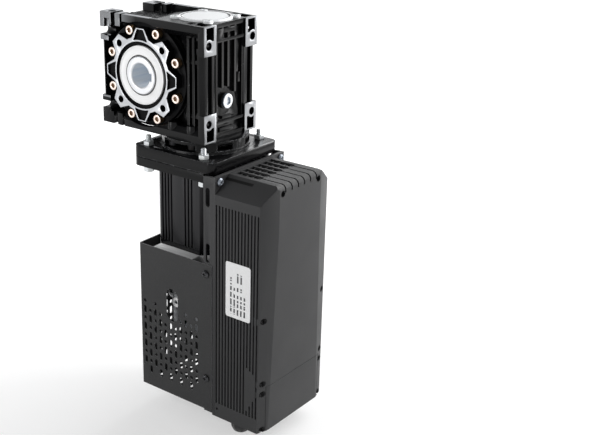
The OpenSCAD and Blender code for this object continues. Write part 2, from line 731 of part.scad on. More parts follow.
// Motor, whose front plate is cut off towards the drive box and has a step at the seam
seam_t = 0.9;
module plate_outline(side) {
  intersection() {
    round_rect(side, side, flange_corner_r);
    translate([-side, -side]) square([side + motor_af / 2, 2 * side]);
  }
}
module motor_front_bell() color(black_cast) {
  translate([centre_distance, 0, 0]) difference() {
    union() {
      translate([0, 0, motor_z]) linear_extrude(motor_plate_t - seam_t) plate_outline(flange_sq);
      translate([0, 0, motor_z]) linear_extrude(motor_plate_t) plate_outline(flange_sq - 2.4);
      zcyl(motor_spigot_r, plate_z - eps, plate_z + 3);
      zcyl(motor_bore_r - fit, motor_z - 4, motor_z + eps);
      zcyl(24, motor_z - 8, motor_z);
    }
    zcyl(20, motor_z - 9, motor_z + 6);
    zcyl(14, motor_z, plate_z + 4);
    flange_bolt_holes(motor_z, plate_z);
  }
}
// Grooves cut along the extrusion's sides, at these places from the middle
groove_left = [-24, -19.8, -15.6, -11.4];
groove_right = [7.7, 12.3, 16.9];
module motor_body() color("#1c1c1e") {
  translate([centre_distance, 0, body_end_z]) linear_extrude(motor_len) difference() {
    cut_square(motor_af, motor_chamfer);
    circle(motor_bore_r, $fn = 96);
    for (a = [0 : 3]) rotate(90 * a) for (x = concat(groove_left, groove_right))
      translate([x, -motor_af / 2]) square([1.9, 4.4], center = true);
  }
}
module stator_core() color("#6b6f75") {
  slots = 12;
  translate([centre_distance, 0, body_end_z + 14]) linear_extrude(motor_len - 34) difference() {
    circle(motor_bore_r, $fn = 96);
    circle(22);
    for (k = [0 : slots - 1]) rotate(k * 360 / slots) translate([21.5, 0]) {
      translate([0, -1]) square([4, 2]);
      translate([3, -2.6]) square([6.5, 5.2]);
    }
  }
}
module stator_windings() color("#b5622a") {
  translate([centre_distance, 0, 0]) {
    zring(motor_bore_r - 3, 24, body_end_z + 5, body_end_z + 14);
    zring(motor_bore_r - 3, 24.4, motor_z - 20, motor_z - 9);
  }
}
motor_bearing_r = 20;
motor_journal_r = 8.5;
module motor_shaft() color(steel) {
  translate([centre_distance, 0, 0]) {
    zcyl(motor_shaft_d / 2 - 0.02, motor_z + 8, -worm_thread_l / 2 - 3);
    zcyl(motor_journal_r, encoder_z - 14, motor_z + 8 + eps);
    // Key that turns the worm
    block([-2.48, 3, worm_foot_z + 1], [2.48, motor_shaft_d / 2 + 2.2, -worm_thread_l / 2 - 8]);
  }
}
module rotor_core() color("#7d8288") {
  translate([centre_distance, 0, 0])
    zring(18, motor_journal_r, body_end_z + 14, motor_z - 20);
}
module rotor_magnets() color("#55585c") {
  magnets = 8;
  translate([centre_distance, 0, body_end_z + 15]) linear_extrude(motor_len - 36) difference() {
    circle(21.2);
    circle(18.05);
    for (k = [0 : magnets - 1]) rotate(k * 360 / magnets) translate([16, -0.8]) square([8, 1.6]);
  }
}
module motor_bearings(r1, r0) {
  translate([centre_distance, 0, 0]) {
    zring(r1, r0, motor_z - 7, motor_z + 5);
    zring(r1, r0, brake_z + 1, brake_z + 13);
  }
}
module motor_bearing_outers() color(steel) motor_bearings(motor_bearing_r, motor_journal_r + 5.3);
module motor_bearing_inners() color(steel) motor_bearings(motor_journal_r + 5, motor_journal_r);
module rear_bell() color(black_cast) {
  translate([centre_distance, 0, 0]) difference() {
    union() {
      translate([0, 0, brake_z]) linear_extrude(bell_t) cut_square(motor_af, motor_chamfer);
      zcyl(motor_bore_r - fit, body_end_z - eps, body_end_z + 3);
      zcyl(motor_bearing_r + 3.2, body_end_z, brake_z + 13);
    }
    zcyl(motor_bearing_r, brake_z + 1, brake_z + 14);
    zcyl(motor_journal_r + 1, brake_z - 1, body_end_z);
    tie_screw_positions() zcyl(2.6, brake_z - 1, body_end_z + 1);
  }
}
module tie_screw_positions() {
  d = motor_af / 2 - motor_chamfer / 2 - 5.5;
  for (i = [-1, 1], j = [-1, 1]) translate([i * d, j * d, 0]) children();
}
module motor_tie_screws() color(zinc) {
  translate([centre_distance, 0, 0]) tie_screw_positions()
    translate([0, 0, brake_z]) mirror([0, 0, 1]) cap_screw(5, bell_t - 0.1, 8.5, 5, 4);
}

// Spring brake behind the motor: housing, coil, armature, disc and hand release
shelf_w = motor_af - 2 * motor_chamfer;
module brake_housing() color(bare_alu) {
  translate([centre_distance, 0, 0]) difference() {
    union() {
      translate([0, 0, brake_end_z]) linear_extrude(brake_h) cut_square(motor_af, motor_chamfer);
      block([-shelf_w / 2, -cover_y + 0.6, brake_z - 7], [shelf_w / 2, cover_y - 0.6, brake_z]);
    }
    zcyl(motor_bearing_r + 6, brake_end_z - 1, brake_z + 1);
    tie_screw_positions() zcyl(5, brake_z - 5.5, brake_z + 1);
  }
}
module brake_coil() color("#3a3d42") {
  translate([centre_distance, 0, 0]) difference() {
    zcyl(coil_r, brake_end_z - coil_h, brake_end_z);
    zcyl(motor_journal_r + 2.5, brake_end_z - coil_h - 1, brake_end_z + 1);
    zring(29, 19, brake_end_z - coil_h - 1, brake_end_z - coil_h + 4);
    brake_spring_positions() zcyl(3.2, brake_end_z - coil_h - 1, brake_end_z - coil_h + 12);
  }
}
module brake_spring_positions() {
  for (k = [0 : 5]) rotate(60 * k) translate([32.3, 0, 0]) children();
}
module brake_springs() color(steel) {
  translate([centre_distance, 0, 0]) brake_spring_positions()
    zcyl(2.6, brake_end_z - coil_h, brake_end_z - coil_h + 12);
}
module brake_armature() color("#8b8f94") {
  translate([centre_distance, 0, 0])
    zring(coil_r - 0.5, motor_journal_r + 2.5, armature_z - armature_t, armature_z);
}
module brake_disc() color("#5b5148") {
  translate([centre_distance, 0, 0]) zring(coil_r - 2, motor_journal_r, disc_z - disc_t, disc_z);
}
// Plate behind the disc, the pillars that carry it and the ears of the release lever
module brake_bracket() color("#9a9da1") {
  translate([centre_distance, 0, 0]) {
    difference() {
      zcyl(coil_r + 6, encoder_z, end_plate_z);
      zcyl(motor_journal_r + 2, encoder_z - 1, end_plate_z + 1);
    }
    for (k = [0 : 2]) rotate(90 + 120 * k)
      zcyl(3.2, end_plate_z - eps, brake_end_z, coil_r + 3.5, 0);
  }
}
module release_lever() color(zinc) {
  xm = eyelet_x;
  difference() {
    union() {
      block([xm - 6, lever_y, eyelet_z], [xm + 6, lever_y + lever_t, lever_pivot_z]);
      ycyl(6, lever_y, lever_y + lever_t, xm, eyelet_z);
      block([xm - 6, lever_y, lever_pivot_z - 4], [xm + 6, -coil_r - 3.5, lever_pivot_z + 4]);
    }
    xcyl(2.05, xm - 8, xm + 8, -42.5, lever_pivot_z);
    ycyl(2.3, lever_y - 1, lever_y + lever_t + 1, xm, eyelet_z);
  }
}
module release_eyelet() color("#e6e8ea") {
  difference() {
    ycyl(5.6, lever_y - 1.6, lever_y, eyelet_x, eyelet_z);
    ycyl(2.3, lever_y - 2, lever_y + 1, eyelet_x, eyelet_z);
  }
}
module lever_pin() color(steel) {
  difference() {
    union() {
      xcyl(2, eyelet_x - 9.5, eyelet_x + 9.5, -42.5, lever_pivot_z);
      for (s = [-1, 1]) translate([eyelet_x + s * 8.2, 0, 0])
        block([-1.5, -46, lever_pivot_z - 4], [1.5, -coil_r + 6, lever_pivot_z + 4]);
    }
    zcyl(coil_r, lever_pivot_z - 5, lever_pivot_z + 5, centre_distance, 0);
  }
}
module encoder_housing() color("#85888c") {
  translate([centre_distance, 0, 0]) difference() {
    zcyl(encoder_r, encoder_z - encoder_h, encoder_z);
    zcyl(encoder_r - 2.5, encoder_z - encoder_h + 2.5, encoder_z + 1);
    ycyl(3, -encoder_r - 1, -encoder_r + 5, 0, encoder_z - encoder_h + 10);
  }
}
module encoder_disc() color("#d9dcdf") {
  translate([centre_distance, 0, 0]) zring(20, motor_journal_r, encoder_z - 12, encoder_z - 10.8);
}
module encoder_board() color("#1f5a34") {
  translate([centre_distance, 0, 0]) {
    zring(encoder_r - 2.6, 5, encoder_z - 24, encoder_z - 22.4);
    for (k = [0 : 2]) rotate(120 * k + 20)
      zcyl(2, encoder_z - encoder_h + 2.5, encoder_z - 24, encoder_r - 6, 0);
  }
}

// Bent sheet cover round the brake and the encoder
module rear_cover() color("#2f2f30") {
  y = cover_y + cover_t;
  bend_r = cover_t + 0.6;
  difference() {
    union() {
      translate([0, 0, cover_z0]) linear_extrude(cover_h) difference() {
        union() {
          translate([cover_x0 + bend_r, -y]) square([cover_x1 - cover_x0 - bend_r, 2 * y]);
          translate([cover_x0, -y + bend_r]) square([cover_x1 - cover_x0, 2 * y - 2 * bend_r]);
          for (s = [-1, 1]) translate([cover_x0 + bend_r, s * (y - bend_r)]) circle(bend_r);
        }
        translate([cover_x0 + cover_t, -cover_y]) square([cover_x1 - cover_x0, 2 * cover_y]);
      }
      bottom_sheet();
    }
    mirrored_y() along_y(-y - 1, -cover_y + 1) perforation();
    along_x(cover_x0 - 1, cover_x0 + cover_t + 1) translate([-window_x, 0]) perforation();
    along_y(-y - 1, -cover_y + 1) translate([window_x, window_z]) obround(window_w, window_h);
    mirrored_y() cover_screw_positions() ycyl(2.2, -y - 1, -cover_y + 1);
  }
}
module bottom_sheet() {
  x0 = cover_x0 + cover_t / 2;
  rows = floor((cover_y - 8) / perf_dz);
  translate([0, 0, cover_z0]) linear_extrude(cover_t) difference() {
    translate([x0, -cover_y - cover_t / 2]) square([tab_x - 1 - x0, 2 * cover_y + cover_t]);
    for (c = [0 : perf_cols - 1], r = [-rows : rows - (c % 2)])
      translate([perf_x0 + c * perf_dx, (r + (c % 2) / 2) * perf_dz])
        if ((r + rows) % 2 == 0) circle(perf_d / 2, $fn = 16);
        else obround(perf_d, perf_len);
  }
}
// Columns of round and long holes in turn, in X and Z, clear of the window
module perforation() {
  for (c = [0 : perf_cols - 1], r = [0 : perf_rows - 1]) {
    first = (c == 4 || c == 6) ? 2 : (c == 5) ? 1 : 0;
    if (r >= first)
      translate([perf_x0 + c * perf_dx, perf_z0 - (r + (c % 2)) * perf_dz])
        if (r % 2 == 0) circle(perf_d / 2, $fn = 16);
        else obround(perf_d, perf_len);
  }
}
cover_screw_x = cover_x1 - 7.5;
cover_screw_zs = [cover_z1 - 10.7, cover_z1 - 133.5];
module cover_screw_positions() {
  for (z = cover_screw_zs) translate([cover_screw_x, 0, z]) children();
}
module cover_screws() color("#161616") {
  mirrored_y() cover_screw_positions() translate([0, -cover_y - cover_t, 0]) rotate([90, 0, 0])
    pan_screw(4.2, 5.6, 8.6, 3);
}

// Back plate of the drive box with the tabs that grip the motor
module drive_base() color("#424244") {
  block_top = drive_top + 1;
  difference() {
    union() {
      block([base_x, -half_w, drive_bot], [drive_x, half_w, block_top]);
      mirrored_y() block([tab_x, -half_w, drive_bot + 2], [base_x + 1, -half_w + tab_t, block_top]);
    }
    mirrored_y() {
      // Slots and screw holes of the tabs
      for (s = [[drive_top - 21.5, 20.4], [drive_top - 82.6, 21.2]])
        along_y(-half_w - 1, -half_w + tab_t + 1)
          translate([tab_x + 5.6, s[0]]) obround(5.4, s[1]);
      cover_screw_positions() ycyl(2.2, -half_w - 1, -half_w + tab_t + 1);
      mount_screw_positions() xcyl(2.6, base_x - 1, drive_x + 1);
      // Sloping top corner of each tab
      along_y(-half_w - 1, -half_w + 20) polygon([
        [tab_x - 1, block_top - 1], [tab_x - 1, block_top + 1], [base_x + 1, block_top + 1],
        [base_x - 3, block_top]]);
    }
  }
}
module mount_screw_positions() {
  translate([0, -half_w + 7, drive_top - 4.4]) children();
}
module drive_mount_screws() color(zinc) {
  mirrored_y() mount_screw_positions() translate([drive_x, 0, 0]) rotate([0, 90, 0])
    pan_screw(5, base_t + 1.2, 8.4, 3);
}
// Fins between the motor and the base plate
fin_count = 6;
fin_dy = 10.6;
module heat_sink() color("#2a2a2c") {
  x0 = tab_x + 0.6;
  y1 = half_w - tab_t - 2;
  block([base_x - 3, -y1, drive_bot + 4], [base_x, y1, motor_z - 2]);
  for (k = [0 : fin_count - 1]) translate([0, (k - (fin_count - 1) / 2) * fin_dy, 0]) {
    block([x0, -1, drive_bot + 4], [base_x, 1, plate_z - 1.5]);
  }
}

// Outline of the drive housing, as three prisms cut with each other
module drive_form(inset, front = 0) {
  x0 = drive_x + (inset > 0 ? -1 : 0);
  y = half_w - inset;
  tip = drive_tip_x - inset - front;
  z1 = drive_top - inset;
  tip_y = half_w - 13 - (drive_tip_x - (side_x1 + 4.4)) * bevel_slope;
  top_r = 6;
  intersection() {
    // Plan: straight sides, a bevel and a slightly pointed front
    translate([0, 0, drive_bot - 1 + inset]) linear_extrude(drive_h + 2) polygon([
      [x0, -y], [side_x1 - inset, -y], [tip - 0.5, -tip_y + inset * 0.4], [tip, 0],
      [tip - 0.5, tip_y - inset * 0.4], [side_x1 - inset, y], [x0, y]]);
    // Side: the front leans back towards the bottom and rolls over at the top
    along_y(-half_w - 1, half_w + 1) {
      polygon([[x0, drive_bot + inset], [drive_tip_bot_x - inset - front, drive_bot + inset],
               [tip, z1 - top_r], [x0, z1 - top_r]]);
      translate([x0, z1 - top_r - 1]) square([tip - top_r - x0, top_r + 1]);
      translate([tip - top_r, z1 - top_r]) circle(top_r);
    }
    // Front: facets along both top edges
    along_x(drive_x - 2, drive_tip_x + 1) polygon([
      [-y, drive_bot - 1], [y, drive_bot - 1], [y, z1 - facet_dz], [top_half_w - inset * 0.3, z1],
      [-top_half_w + inset * 0.3, z1], [-y, z1 - facet_dz]]);
  }
}
grille_count = 6;
grille_x0 = drive_x + 4;
grille_x1 = drive_x + 35;
module drive_housing() color(plastic_grey) {
  difference() {
    drive_form(0);
    drive_form(drive_wall);
    // Grooves of both side panels, broken by a plain patch
    mirrored_y() for (k = [0 : groove_count - 1]) panel_groove(k);
    // Open grille behind, narrow grooves over the front edge
    for (k = [0 : grille_count - 1]) translate([0, (k - (grille_count - 1) / 2) * fin_dy, 0]) {
      block([grille_x0, -4, drive_top - 10], [grille_x1, 4, drive_top + 1]);
      block([grille_x1 - 1, -1, drive_top - 2], [drive_tip_x + 1, 1, drive_top + 1]);
      block([drive_tip_x - 2.4, -1, drive_top - 8], [drive_tip_x + 1, 1, drive_top + 1]);
    }
    // Place of the terminal cover, with its seam
    block([drive_tip_x - 16, -half_w + 10, drive_bot - 1], [drive_tip_x + 1, half_w - 10, lid_z]);
    drive_screw_holes();
    mirrored_y() ycyl(1.4, -half_w - 1, -half_w + 4, drive_x + 2.6, drive_bot + 10);
    zcyl(8.1, drive_bot - 1, drive_bot + drive_wall + 1, gland_x, gland_y);
  }
  grille_bars();
  screw_bosses();
}
module grille_bars() {
  bars = 4;
  for (k = [0 : bars - 1])
    translate([grille_x0 + (k + 0.5) * (grille_x1 - grille_x0) / bars - 0.7, 0, 0])
      block([0, -top_half_w + 4, drive_top - drive_wall], [1.4, top_half_w - 4, drive_top - 1.4]);
}
module panel_groove(k) {
  x = drive_x + 1.8 + k * groove_dx;
  plain = k >= groove_count - 4 && k < groove_count - 1;
  plain_z1 = drive_top - 198 - (k - groove_count + 4) * 2.5;
  plain_z0 = drive_top - 249 + (k - groove_count + 4) * 7;
  runs = plain ? [[groove_z0, plain_z0], [plain_z1, groove_z1]] : [[groove_z0, groove_z1]];
  for (r = runs)
    block([x - groove_w / 2, -half_w - 1, r[0]], [x + groove_w / 2, -half_w + groove_depth, r[1]]);
}
// Axes of the screws in the front face, and in both bevels
module front_screw_positions() {
  for (s = [-1, 1])
    translate([drive_tip_x, s * front_screw_y, drive_top - 8.4]) rotate([0, 90, 0]) children();
}
bevel_x = side_x1 + 2.2;
bevel_y = half_w - 6.5;
module side_screw_positions() {
  mirrored_y() for (z = side_screw_zs)
    translate([bevel_x, -bevel_y, drive_top + z]) rotate([0, 90, 0]) rotate([-18.7, 0, 0]) children();
}
screw_depth = 6;
module drive_screw_holes() {
  front_screw_positions() zcyl(screw_hole_r, -screw_depth - 4, 3);
  side_screw_positions() zcyl(screw_hole_r, -screw_depth, 4);
}
module screw_bosses() {
  difference() {
    intersection() {
      drive_form(0.5);
      union() {
        front_screw_positions() zcyl(screw_hole_r + 2, -screw_depth - 8, -1.5);
        side_screw_positions() zcyl(screw_hole_r + 2, -screw_depth - 4, -1);
      }
    }
    drive_screw_holes();
    block([drive_tip_x - 16, -half_w + 10, drive_bot - 1], [drive_tip_x + 1, half_w - 10, lid_z]);
  }
}
module drive_screws() color("#1b1b1c") {
  front_screw_positions() translate([0, 0, -screw_depth - 2.1]) cap_screw(3, 1.8, 5.8, 3, 3);
  side_screw_positions() translate([0, 0, -screw_depth + 1.9]) cap_screw(3, 1.8, 5.8, 3, 3);
}
// Lid over the terminals at the foot of the front face
module terminal_cover() color(plastic_grey) {
  seam = 0.3;
  difference() {
    intersection() {
      drive_form(0);
      block([drive_tip_x - 16 + seam, -half_w + 10 + seam, drive_bot - 1],
            [drive_tip_x + 1, half_w - 10 - seam, lid_z - seam]);
    }
    block([drive_tip_x - 18, -half_w + 14, drive_bot + 3], [drive_tip_bot_x - 3, half_w - 14, lid_z - 3]);
  }
}
module rating_plate() color("#e9eaec") {
  along_y(-half_w - 0.3, -half_w) translate([label_x, label_z]) round_rect(label_w, label_h, 2.5);
}
module control_board() color("#1f5a34") {
  block([drive_x + 30, -half_w + 8, lid_z + 8], [drive_x + 31.6, half_w - 8, drive_top - 30]);
  for (i = [-1, 1], z = [lid_z + 14, drive_top - 36])
    xcyl(2.5, drive_x, drive_x + 30, i * (half_w - 14), z);
}
module capacitors() color("#2b3550") {
  for (k = [-1 : 1]) xcyl(10, drive_x + 4, drive_x + 30, k * 24, drive_top - 60);
}
module power_module() color("#1d1d1f") {
  block([drive_x, -28, drive_top - 150], [drive_x + 12, 28, drive_top - 95]);
}
module terminal_block() color("#3f7d54") {
  difference() {
    block([drive_x, -36, drive_bot + 16], [drive_x + 22, 36, drive_bot + 36]);
    for (k = [0 : 6]) xcyl(2.6, drive_x + 16, drive_x + 23, -30 + 10 * k, drive_bot + 26);
  }
}
// Plastic cable gland under the drive box
module cable_gland() color("#121212") {
  translate([gland_x, gland_y, drive_bot]) difference() {
    union() {
      zcyl(7.98, -eps, drive_wall + 6);
      translate([0, 0, drive_wall]) cylinder(d = 24 / cos(30), h = 4, $fn = 6);
      translate([0, 0, -7]) cylinder(d = 24 / cos(30), h = 7, $fn = 6);
      zcyl(11.4, -16, -7 + eps);
      translate([0, 0, -24]) cylinder(r1 = 8.4, r2 = 11.4, h = 8 + eps);
    }
    zcyl(5, -25, drive_wall + 7);
  }
}

gear_housing();
side_cover();
side_cover_screws();
output_seals();
output_bearing_outers();
output_bearing_inners();
output_shaft();
worm_wheel();
worm_shaft();
worm_bearing_outers();
worm_bearing_inners();
worm_end_cap();
end_cap_screws();
oil_plug();
input_seal();
input_flange();
input_flange_screws();
flange_bolts();
flange_nuts();
flange_washers();
motor_front_bell();
motor_body();
stator_core();
stator_windings();
motor_shaft();
rotor_core();
rotor_magnets();
motor_bearing_outers();
motor_bearing_inners();
rear_bell();
motor_tie_screws();
brake_housing();
brake_coil();
brake_armature();
brake_disc();
brake_springs();
brake_bracket();
release_lever();
release_eyelet();
lever_pin();
encoder_housing();
encoder_disc();
encoder_board();
rear_cover();
cover_screws();
drive_base();
heat_sink();
drive_mount_screws();
drive_housing();
terminal_cover();
drive_screws();
rating_plate();
control_board();
capacitors();
power_module();
terminal_block();
cable_gland();
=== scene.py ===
# %% [markdown]
# # A motor for a high-speed door
# The object is a worm gearbox with a hollow output shaft, a servo motor bolted under it, a cover of
# perforated sheet metal round the motor's brake, and a plastic drive box on the motor's side.
# The construction comes ready from the frame: every part sits at its real size and place, in metres.
# This lesson only gives the parts their looks. It softens edges that a foundry or a press would never
# leave sharp, writes one finish for each material, and builds the small parts that deserve real detail.

# %% Load the frame
import json
import math

import bmesh
import bpy
from mathutils import Matrix, Vector

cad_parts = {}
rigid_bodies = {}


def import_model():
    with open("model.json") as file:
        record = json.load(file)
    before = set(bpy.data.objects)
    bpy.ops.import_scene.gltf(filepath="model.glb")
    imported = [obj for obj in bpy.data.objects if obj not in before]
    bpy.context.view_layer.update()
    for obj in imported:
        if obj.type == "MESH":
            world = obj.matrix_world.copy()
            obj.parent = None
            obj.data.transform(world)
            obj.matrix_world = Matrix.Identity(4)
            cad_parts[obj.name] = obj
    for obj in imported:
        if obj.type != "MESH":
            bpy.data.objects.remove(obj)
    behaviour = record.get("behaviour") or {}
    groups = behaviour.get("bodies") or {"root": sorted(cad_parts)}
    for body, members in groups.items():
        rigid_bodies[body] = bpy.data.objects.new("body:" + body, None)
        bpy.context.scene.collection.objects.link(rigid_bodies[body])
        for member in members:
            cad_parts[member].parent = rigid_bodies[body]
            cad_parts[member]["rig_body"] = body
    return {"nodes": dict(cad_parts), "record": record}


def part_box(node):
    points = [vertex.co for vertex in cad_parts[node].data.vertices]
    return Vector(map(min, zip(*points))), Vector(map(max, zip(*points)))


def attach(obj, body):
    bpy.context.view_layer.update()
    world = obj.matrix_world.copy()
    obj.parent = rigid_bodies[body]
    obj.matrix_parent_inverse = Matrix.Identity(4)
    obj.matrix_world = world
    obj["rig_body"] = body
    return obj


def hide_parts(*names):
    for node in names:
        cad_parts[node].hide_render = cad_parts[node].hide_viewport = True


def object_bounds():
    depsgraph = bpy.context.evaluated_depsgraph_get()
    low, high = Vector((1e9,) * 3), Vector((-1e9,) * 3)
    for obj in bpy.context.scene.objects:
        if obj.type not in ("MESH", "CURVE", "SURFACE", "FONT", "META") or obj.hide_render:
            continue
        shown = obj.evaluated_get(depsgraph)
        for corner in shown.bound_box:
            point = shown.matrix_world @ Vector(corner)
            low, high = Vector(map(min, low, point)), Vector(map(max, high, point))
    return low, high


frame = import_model()
nodes = frame["nodes"]
cad_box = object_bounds()
MM = 0.001
print("parts in the frame:", len(nodes))

# %% [markdown]
# ## The camera
# A photograph is a pinhole projection. Its viewpoint is given by a turn round the vertical, a height
# above the horizon, and a shift of the object in the camera's own axes. The lens follows from the focal
# length in pixels and the image width. The object stands left of the middle of the photograph, so the
# lens is shifted sideways instead of turning the camera, which would bend the uprights.

# %% Camera
IMAGE_W, IMAGE_H = 600, 435
FOCAL_PX = 1071.0
CENTRE_PX = (213.0, 217.0)
VIEW_AZIMUTH = math.radians(39.75)
VIEW_ELEVATION = math.radians(21.08)
CAMERA_SHIFT = Vector((-46.17, 159.33, 1144.18)) * MM

sin_az, cos_az = math.sin(VIEW_AZIMUTH), math.cos(VIEW_AZIMUTH)
sin_el, cos_el = math.sin(VIEW_ELEVATION), math.cos(VIEW_ELEVATION)
right = Vector((cos_az, sin_az, 0))
up = Vector((-sin_az * sin_el, cos_az * sin_el, cos_el))
forward = Vector((-sin_az * cos_el, cos_az * cos_el, -sin_el))

camera_data = bpy.data.cameras.new("photo_camera")
camera_data.sensor_width = 36
camera_data.lens = FOCAL_PX / IMAGE_W * camera_data.sensor_width
camera_data.shift_x = 0.5 - CENTRE_PX[0] / IMAGE_W
camera_data.shift_y = (CENTRE_PX[1] - IMAGE_H / 2) / IMAGE_W
camera_data.clip_end = 20
camera = bpy.data.objects.new("photo_camera", camera_data)
turn = Matrix((right, up, -forward)).transposed()
place = -(right * CAMERA_SHIFT.x + up * CAMERA_SHIFT.y + forward * CAMERA_SHIFT.z)
camera.matrix_world = Matrix.Translation(place) @ turn.to_4x4()
bpy.context.scene.collection.objects.link(camera)
bpy.context.scene.camera = camera
print("camera at", [round(v, 3) for v in place])

# %% [markdown]
# ## Tools for shader graphs
# A shader graph is a list of small nodes and the links between them. Two short functions keep that list
# readable: one adds a node with its settings and inputs, the other does one step of arithmetic. All the
# patterns below read Object coordinates, which are metres here, so every size can be given in millimetres.

# %% Nodes, links and arithmetic
def link(node_tree, output, target):
    """Joins an output socket to an input socket."""
    node_tree.links.new(output, target)


def add(tree, kind, settings=None, inputs=None):
    """Adds a node, sets its options, and sets or links its inputs."""
    made = tree.nodes.new(kind)
    for name, value in (settings or {}).items():
        setattr(made, name, value)
    for name, value in (inputs or {}).items():
        if isinstance(value, bpy.types.NodeSocket):
            link(tree, value, made.inputs[name])
        else:
            made.inputs[name].default_value = value
    return made


def maths(tree, operation, a, b=0.0, c=0.0, clamp=False):
    """One step of arithmetic on numbers or sockets."""
    settings = {"operation": operation, "use_clamp": clamp}
    return add(tree, "ShaderNodeMath", settings, {0: a, 1: b, 2: c}).outputs[0]


def dot(tree, a, b):
    """The dot product of two vectors."""
    return add(tree, "ShaderNodeVectorMath", {"operation": "DOT_PRODUCT"}, {0: a, 1: b}).outputs["Value"]


def remap(tree, value, low, high, to_low=0.0, to_high=1.0):
    """Stretches a range of values to another range and clamps it there."""
    inputs = {"Value": value, "From Min": low, "From Max": high, "To Min": to_low, "To Max": to_high}
    return add(tree, "ShaderNodeMapRange", None, inputs).outputs["Result"]


def band(tree, value, low, high):
    """A mask that is 1 between two values."""
    above = maths(tree, "GREATER_THAN", value, low)
    return maths(tree, "MULTIPLY", above, maths(tree, "LESS_THAN", value, high))


def mix_value(tree, factor, a, b):
    """A blend of two numbers."""
    return add(tree, "ShaderNodeMix", None, {"Factor": factor, "A": a, "B": b}).outputs["Result"]


def mix_colour(tree, factor, a, b):
    """A blend of two colours."""
    made = add(tree, "ShaderNodeMix", {"data_type": "RGBA"})
    for index, value in ((0, factor), (6, a), (7, b)):
        if isinstance(value, bpy.types.NodeSocket):
            link(tree, value, made.inputs[index])
        elif index == 0:
            made.inputs[index].default_value = value
        else:
            made.inputs[index].default_value = (*value, 1)
    return made.outputs[2]


# %% Start a material and feed its shader
def start_material(name):
    """A new material with its Principled shader."""
    material = bpy.data.materials.new(name)
    material.use_nodes = True
    tree = material.node_tree
    return material, tree, tree.nodes["Principled BSDF"]


def feed(tree, shader, **values):
    """Sets or links the shader's sockets, named with underscores for spaces."""
    for name, value in values.items():
        socket = shader.inputs[name.replace("_", " ")]
        if isinstance(value, bpy.types.NodeSocket):
            link(tree, value, socket)
        elif socket.type == "RGBA":
            socket.default_value = (*value, 1)
        else:
            socket.default_value = value


# %% Patterns and bumps in millimetres
def in_millimetres(tree):
    """Object coordinates in millimetres."""
    place = add(tree, "ShaderNodeTexCoord").outputs["Object"]
    settings = {"operation": "SCALE"}
    return add(tree, "ShaderNodeVectorMath", settings, {0: place, "Scale": 1000.0}).outputs[0]


def place_mm(tree):
    """The X, Y and Z of the shaded point, in millimetres."""
    return add(tree, "ShaderNodeSeparateXYZ", None, {0: in_millimetres(tree)}).outputs


def facing(tree, direction):
    """How far the flat face under the shaded point looks along a direction, from -1 to 1."""
    return dot(tree, add(tree, "ShaderNodeNewGeometry").outputs["True Normal"], direction)


def noise(tree, scale, detail=2.0, stretch=(1, 1, 1), rough=0.5):
    """Soft noise, with its scale in waves per millimetre and a stretch along each axis."""
    point = in_millimetres(tree)
    point = add(tree, "ShaderNodeVectorMath", {"operation": "MULTIPLY"}, {0: point, 1: stretch}).outputs[0]
    inputs = {"Vector": point, "Scale": scale, "Detail": detail, "Roughness": rough}
    return add(tree, "ShaderNodeTexNoise", None, inputs).outputs["Fac"]


def bump(tree, height, depth):
    """Turns a height pattern into a normal, with its depth in millimetres."""
    return add(tree, "ShaderNodeBump", None, {"Height": height, "Distance": depth * MM}).outputs["Normal"]


print("shader tools ready")

# %% [markdown]
# ## The studio
# A product shot on white needs a pale floor, an even sky, and a few large soft lamps. The lamps are big
# areas, because gloss paint and machined metal show the lamp itself as their highlight. The sky is white
# for the camera, and its light on the object is plain, so that a colour renders about as it is written.
# Gloss paint also mirrors a bright band just above the horizon, which lights the casting's upper faces.

# %% Floor
scene = bpy.context.scene
scene.view_settings.view_transform = "Standard"
FLOOR_SIZE = 6
FLOOR_GREY = (0.5, 0.5, 0.5)
# The floor's own glow grows from the first distance to the second, in metres, between two strengths.
GLOW_DISTANCE, GLOW_STRENGTH = (0.25, 1.3), (0.38, 1.0)


def studio_floor(level):
    """A wide pale floor that is pure white for the camera wherever no shadow falls."""
    mesh = bmesh.new()
    bmesh.ops.create_grid(mesh, x_segments=1, y_segments=1, size=FLOOR_SIZE)
    bmesh.ops.translate(mesh, verts=mesh.verts, vec=(0, 0, level))
    data = bpy.data.meshes.new("studio_floor")
    mesh.to_mesh(data)
    mesh.free()
    floor = bpy.data.objects.new("studio_floor", data)
    scene.collection.objects.link(floor)
    material, tree, paper = start_material("studio_white")
    feed(tree, paper, Base_Color=FLOOR_GREY, Roughness=0.9)
    place = add(tree, "ShaderNodeTexCoord").outputs["Object"]
    distance = add(tree, "ShaderNodeVectorMath", {"operation": "LENGTH"}, {0: place}).outputs["Value"]
    strength = remap(tree, distance, *GLOW_DISTANCE, *GLOW_STRENGTH)
    glow = add(tree, "ShaderNodeEmission", None, {"Strength": strength}).outputs[0]
    dark = add(tree, "ShaderNodeEmission", None, {"Strength": 0.0}).outputs[0]
    rays = add(tree, "ShaderNodeLightPath").outputs
    seen = maths(tree, "MAXIMUM", rays["Is Camera Ray"], rays["Is Glossy Ray"])
    pick = add(tree, "ShaderNodeMixShader", None, {"Fac": seen, 1: dark, 2: glow}).outputs[0]
    both = add(tree, "ShaderNodeAddShader", None, {0: paper.outputs[0], 1: pick}).outputs[0]
    link(tree, both, tree.nodes["Material Output"].inputs["Surface"])
    data.materials.append(material)


studio_floor(cad_box[0].z)
print("floor at", round(cad_box[0].z, 3))


# %% Sky
SKY_COLOUR = (0.97, 0.985, 1, 1)
MIRRORED_BAND = (0.28, 0.55)


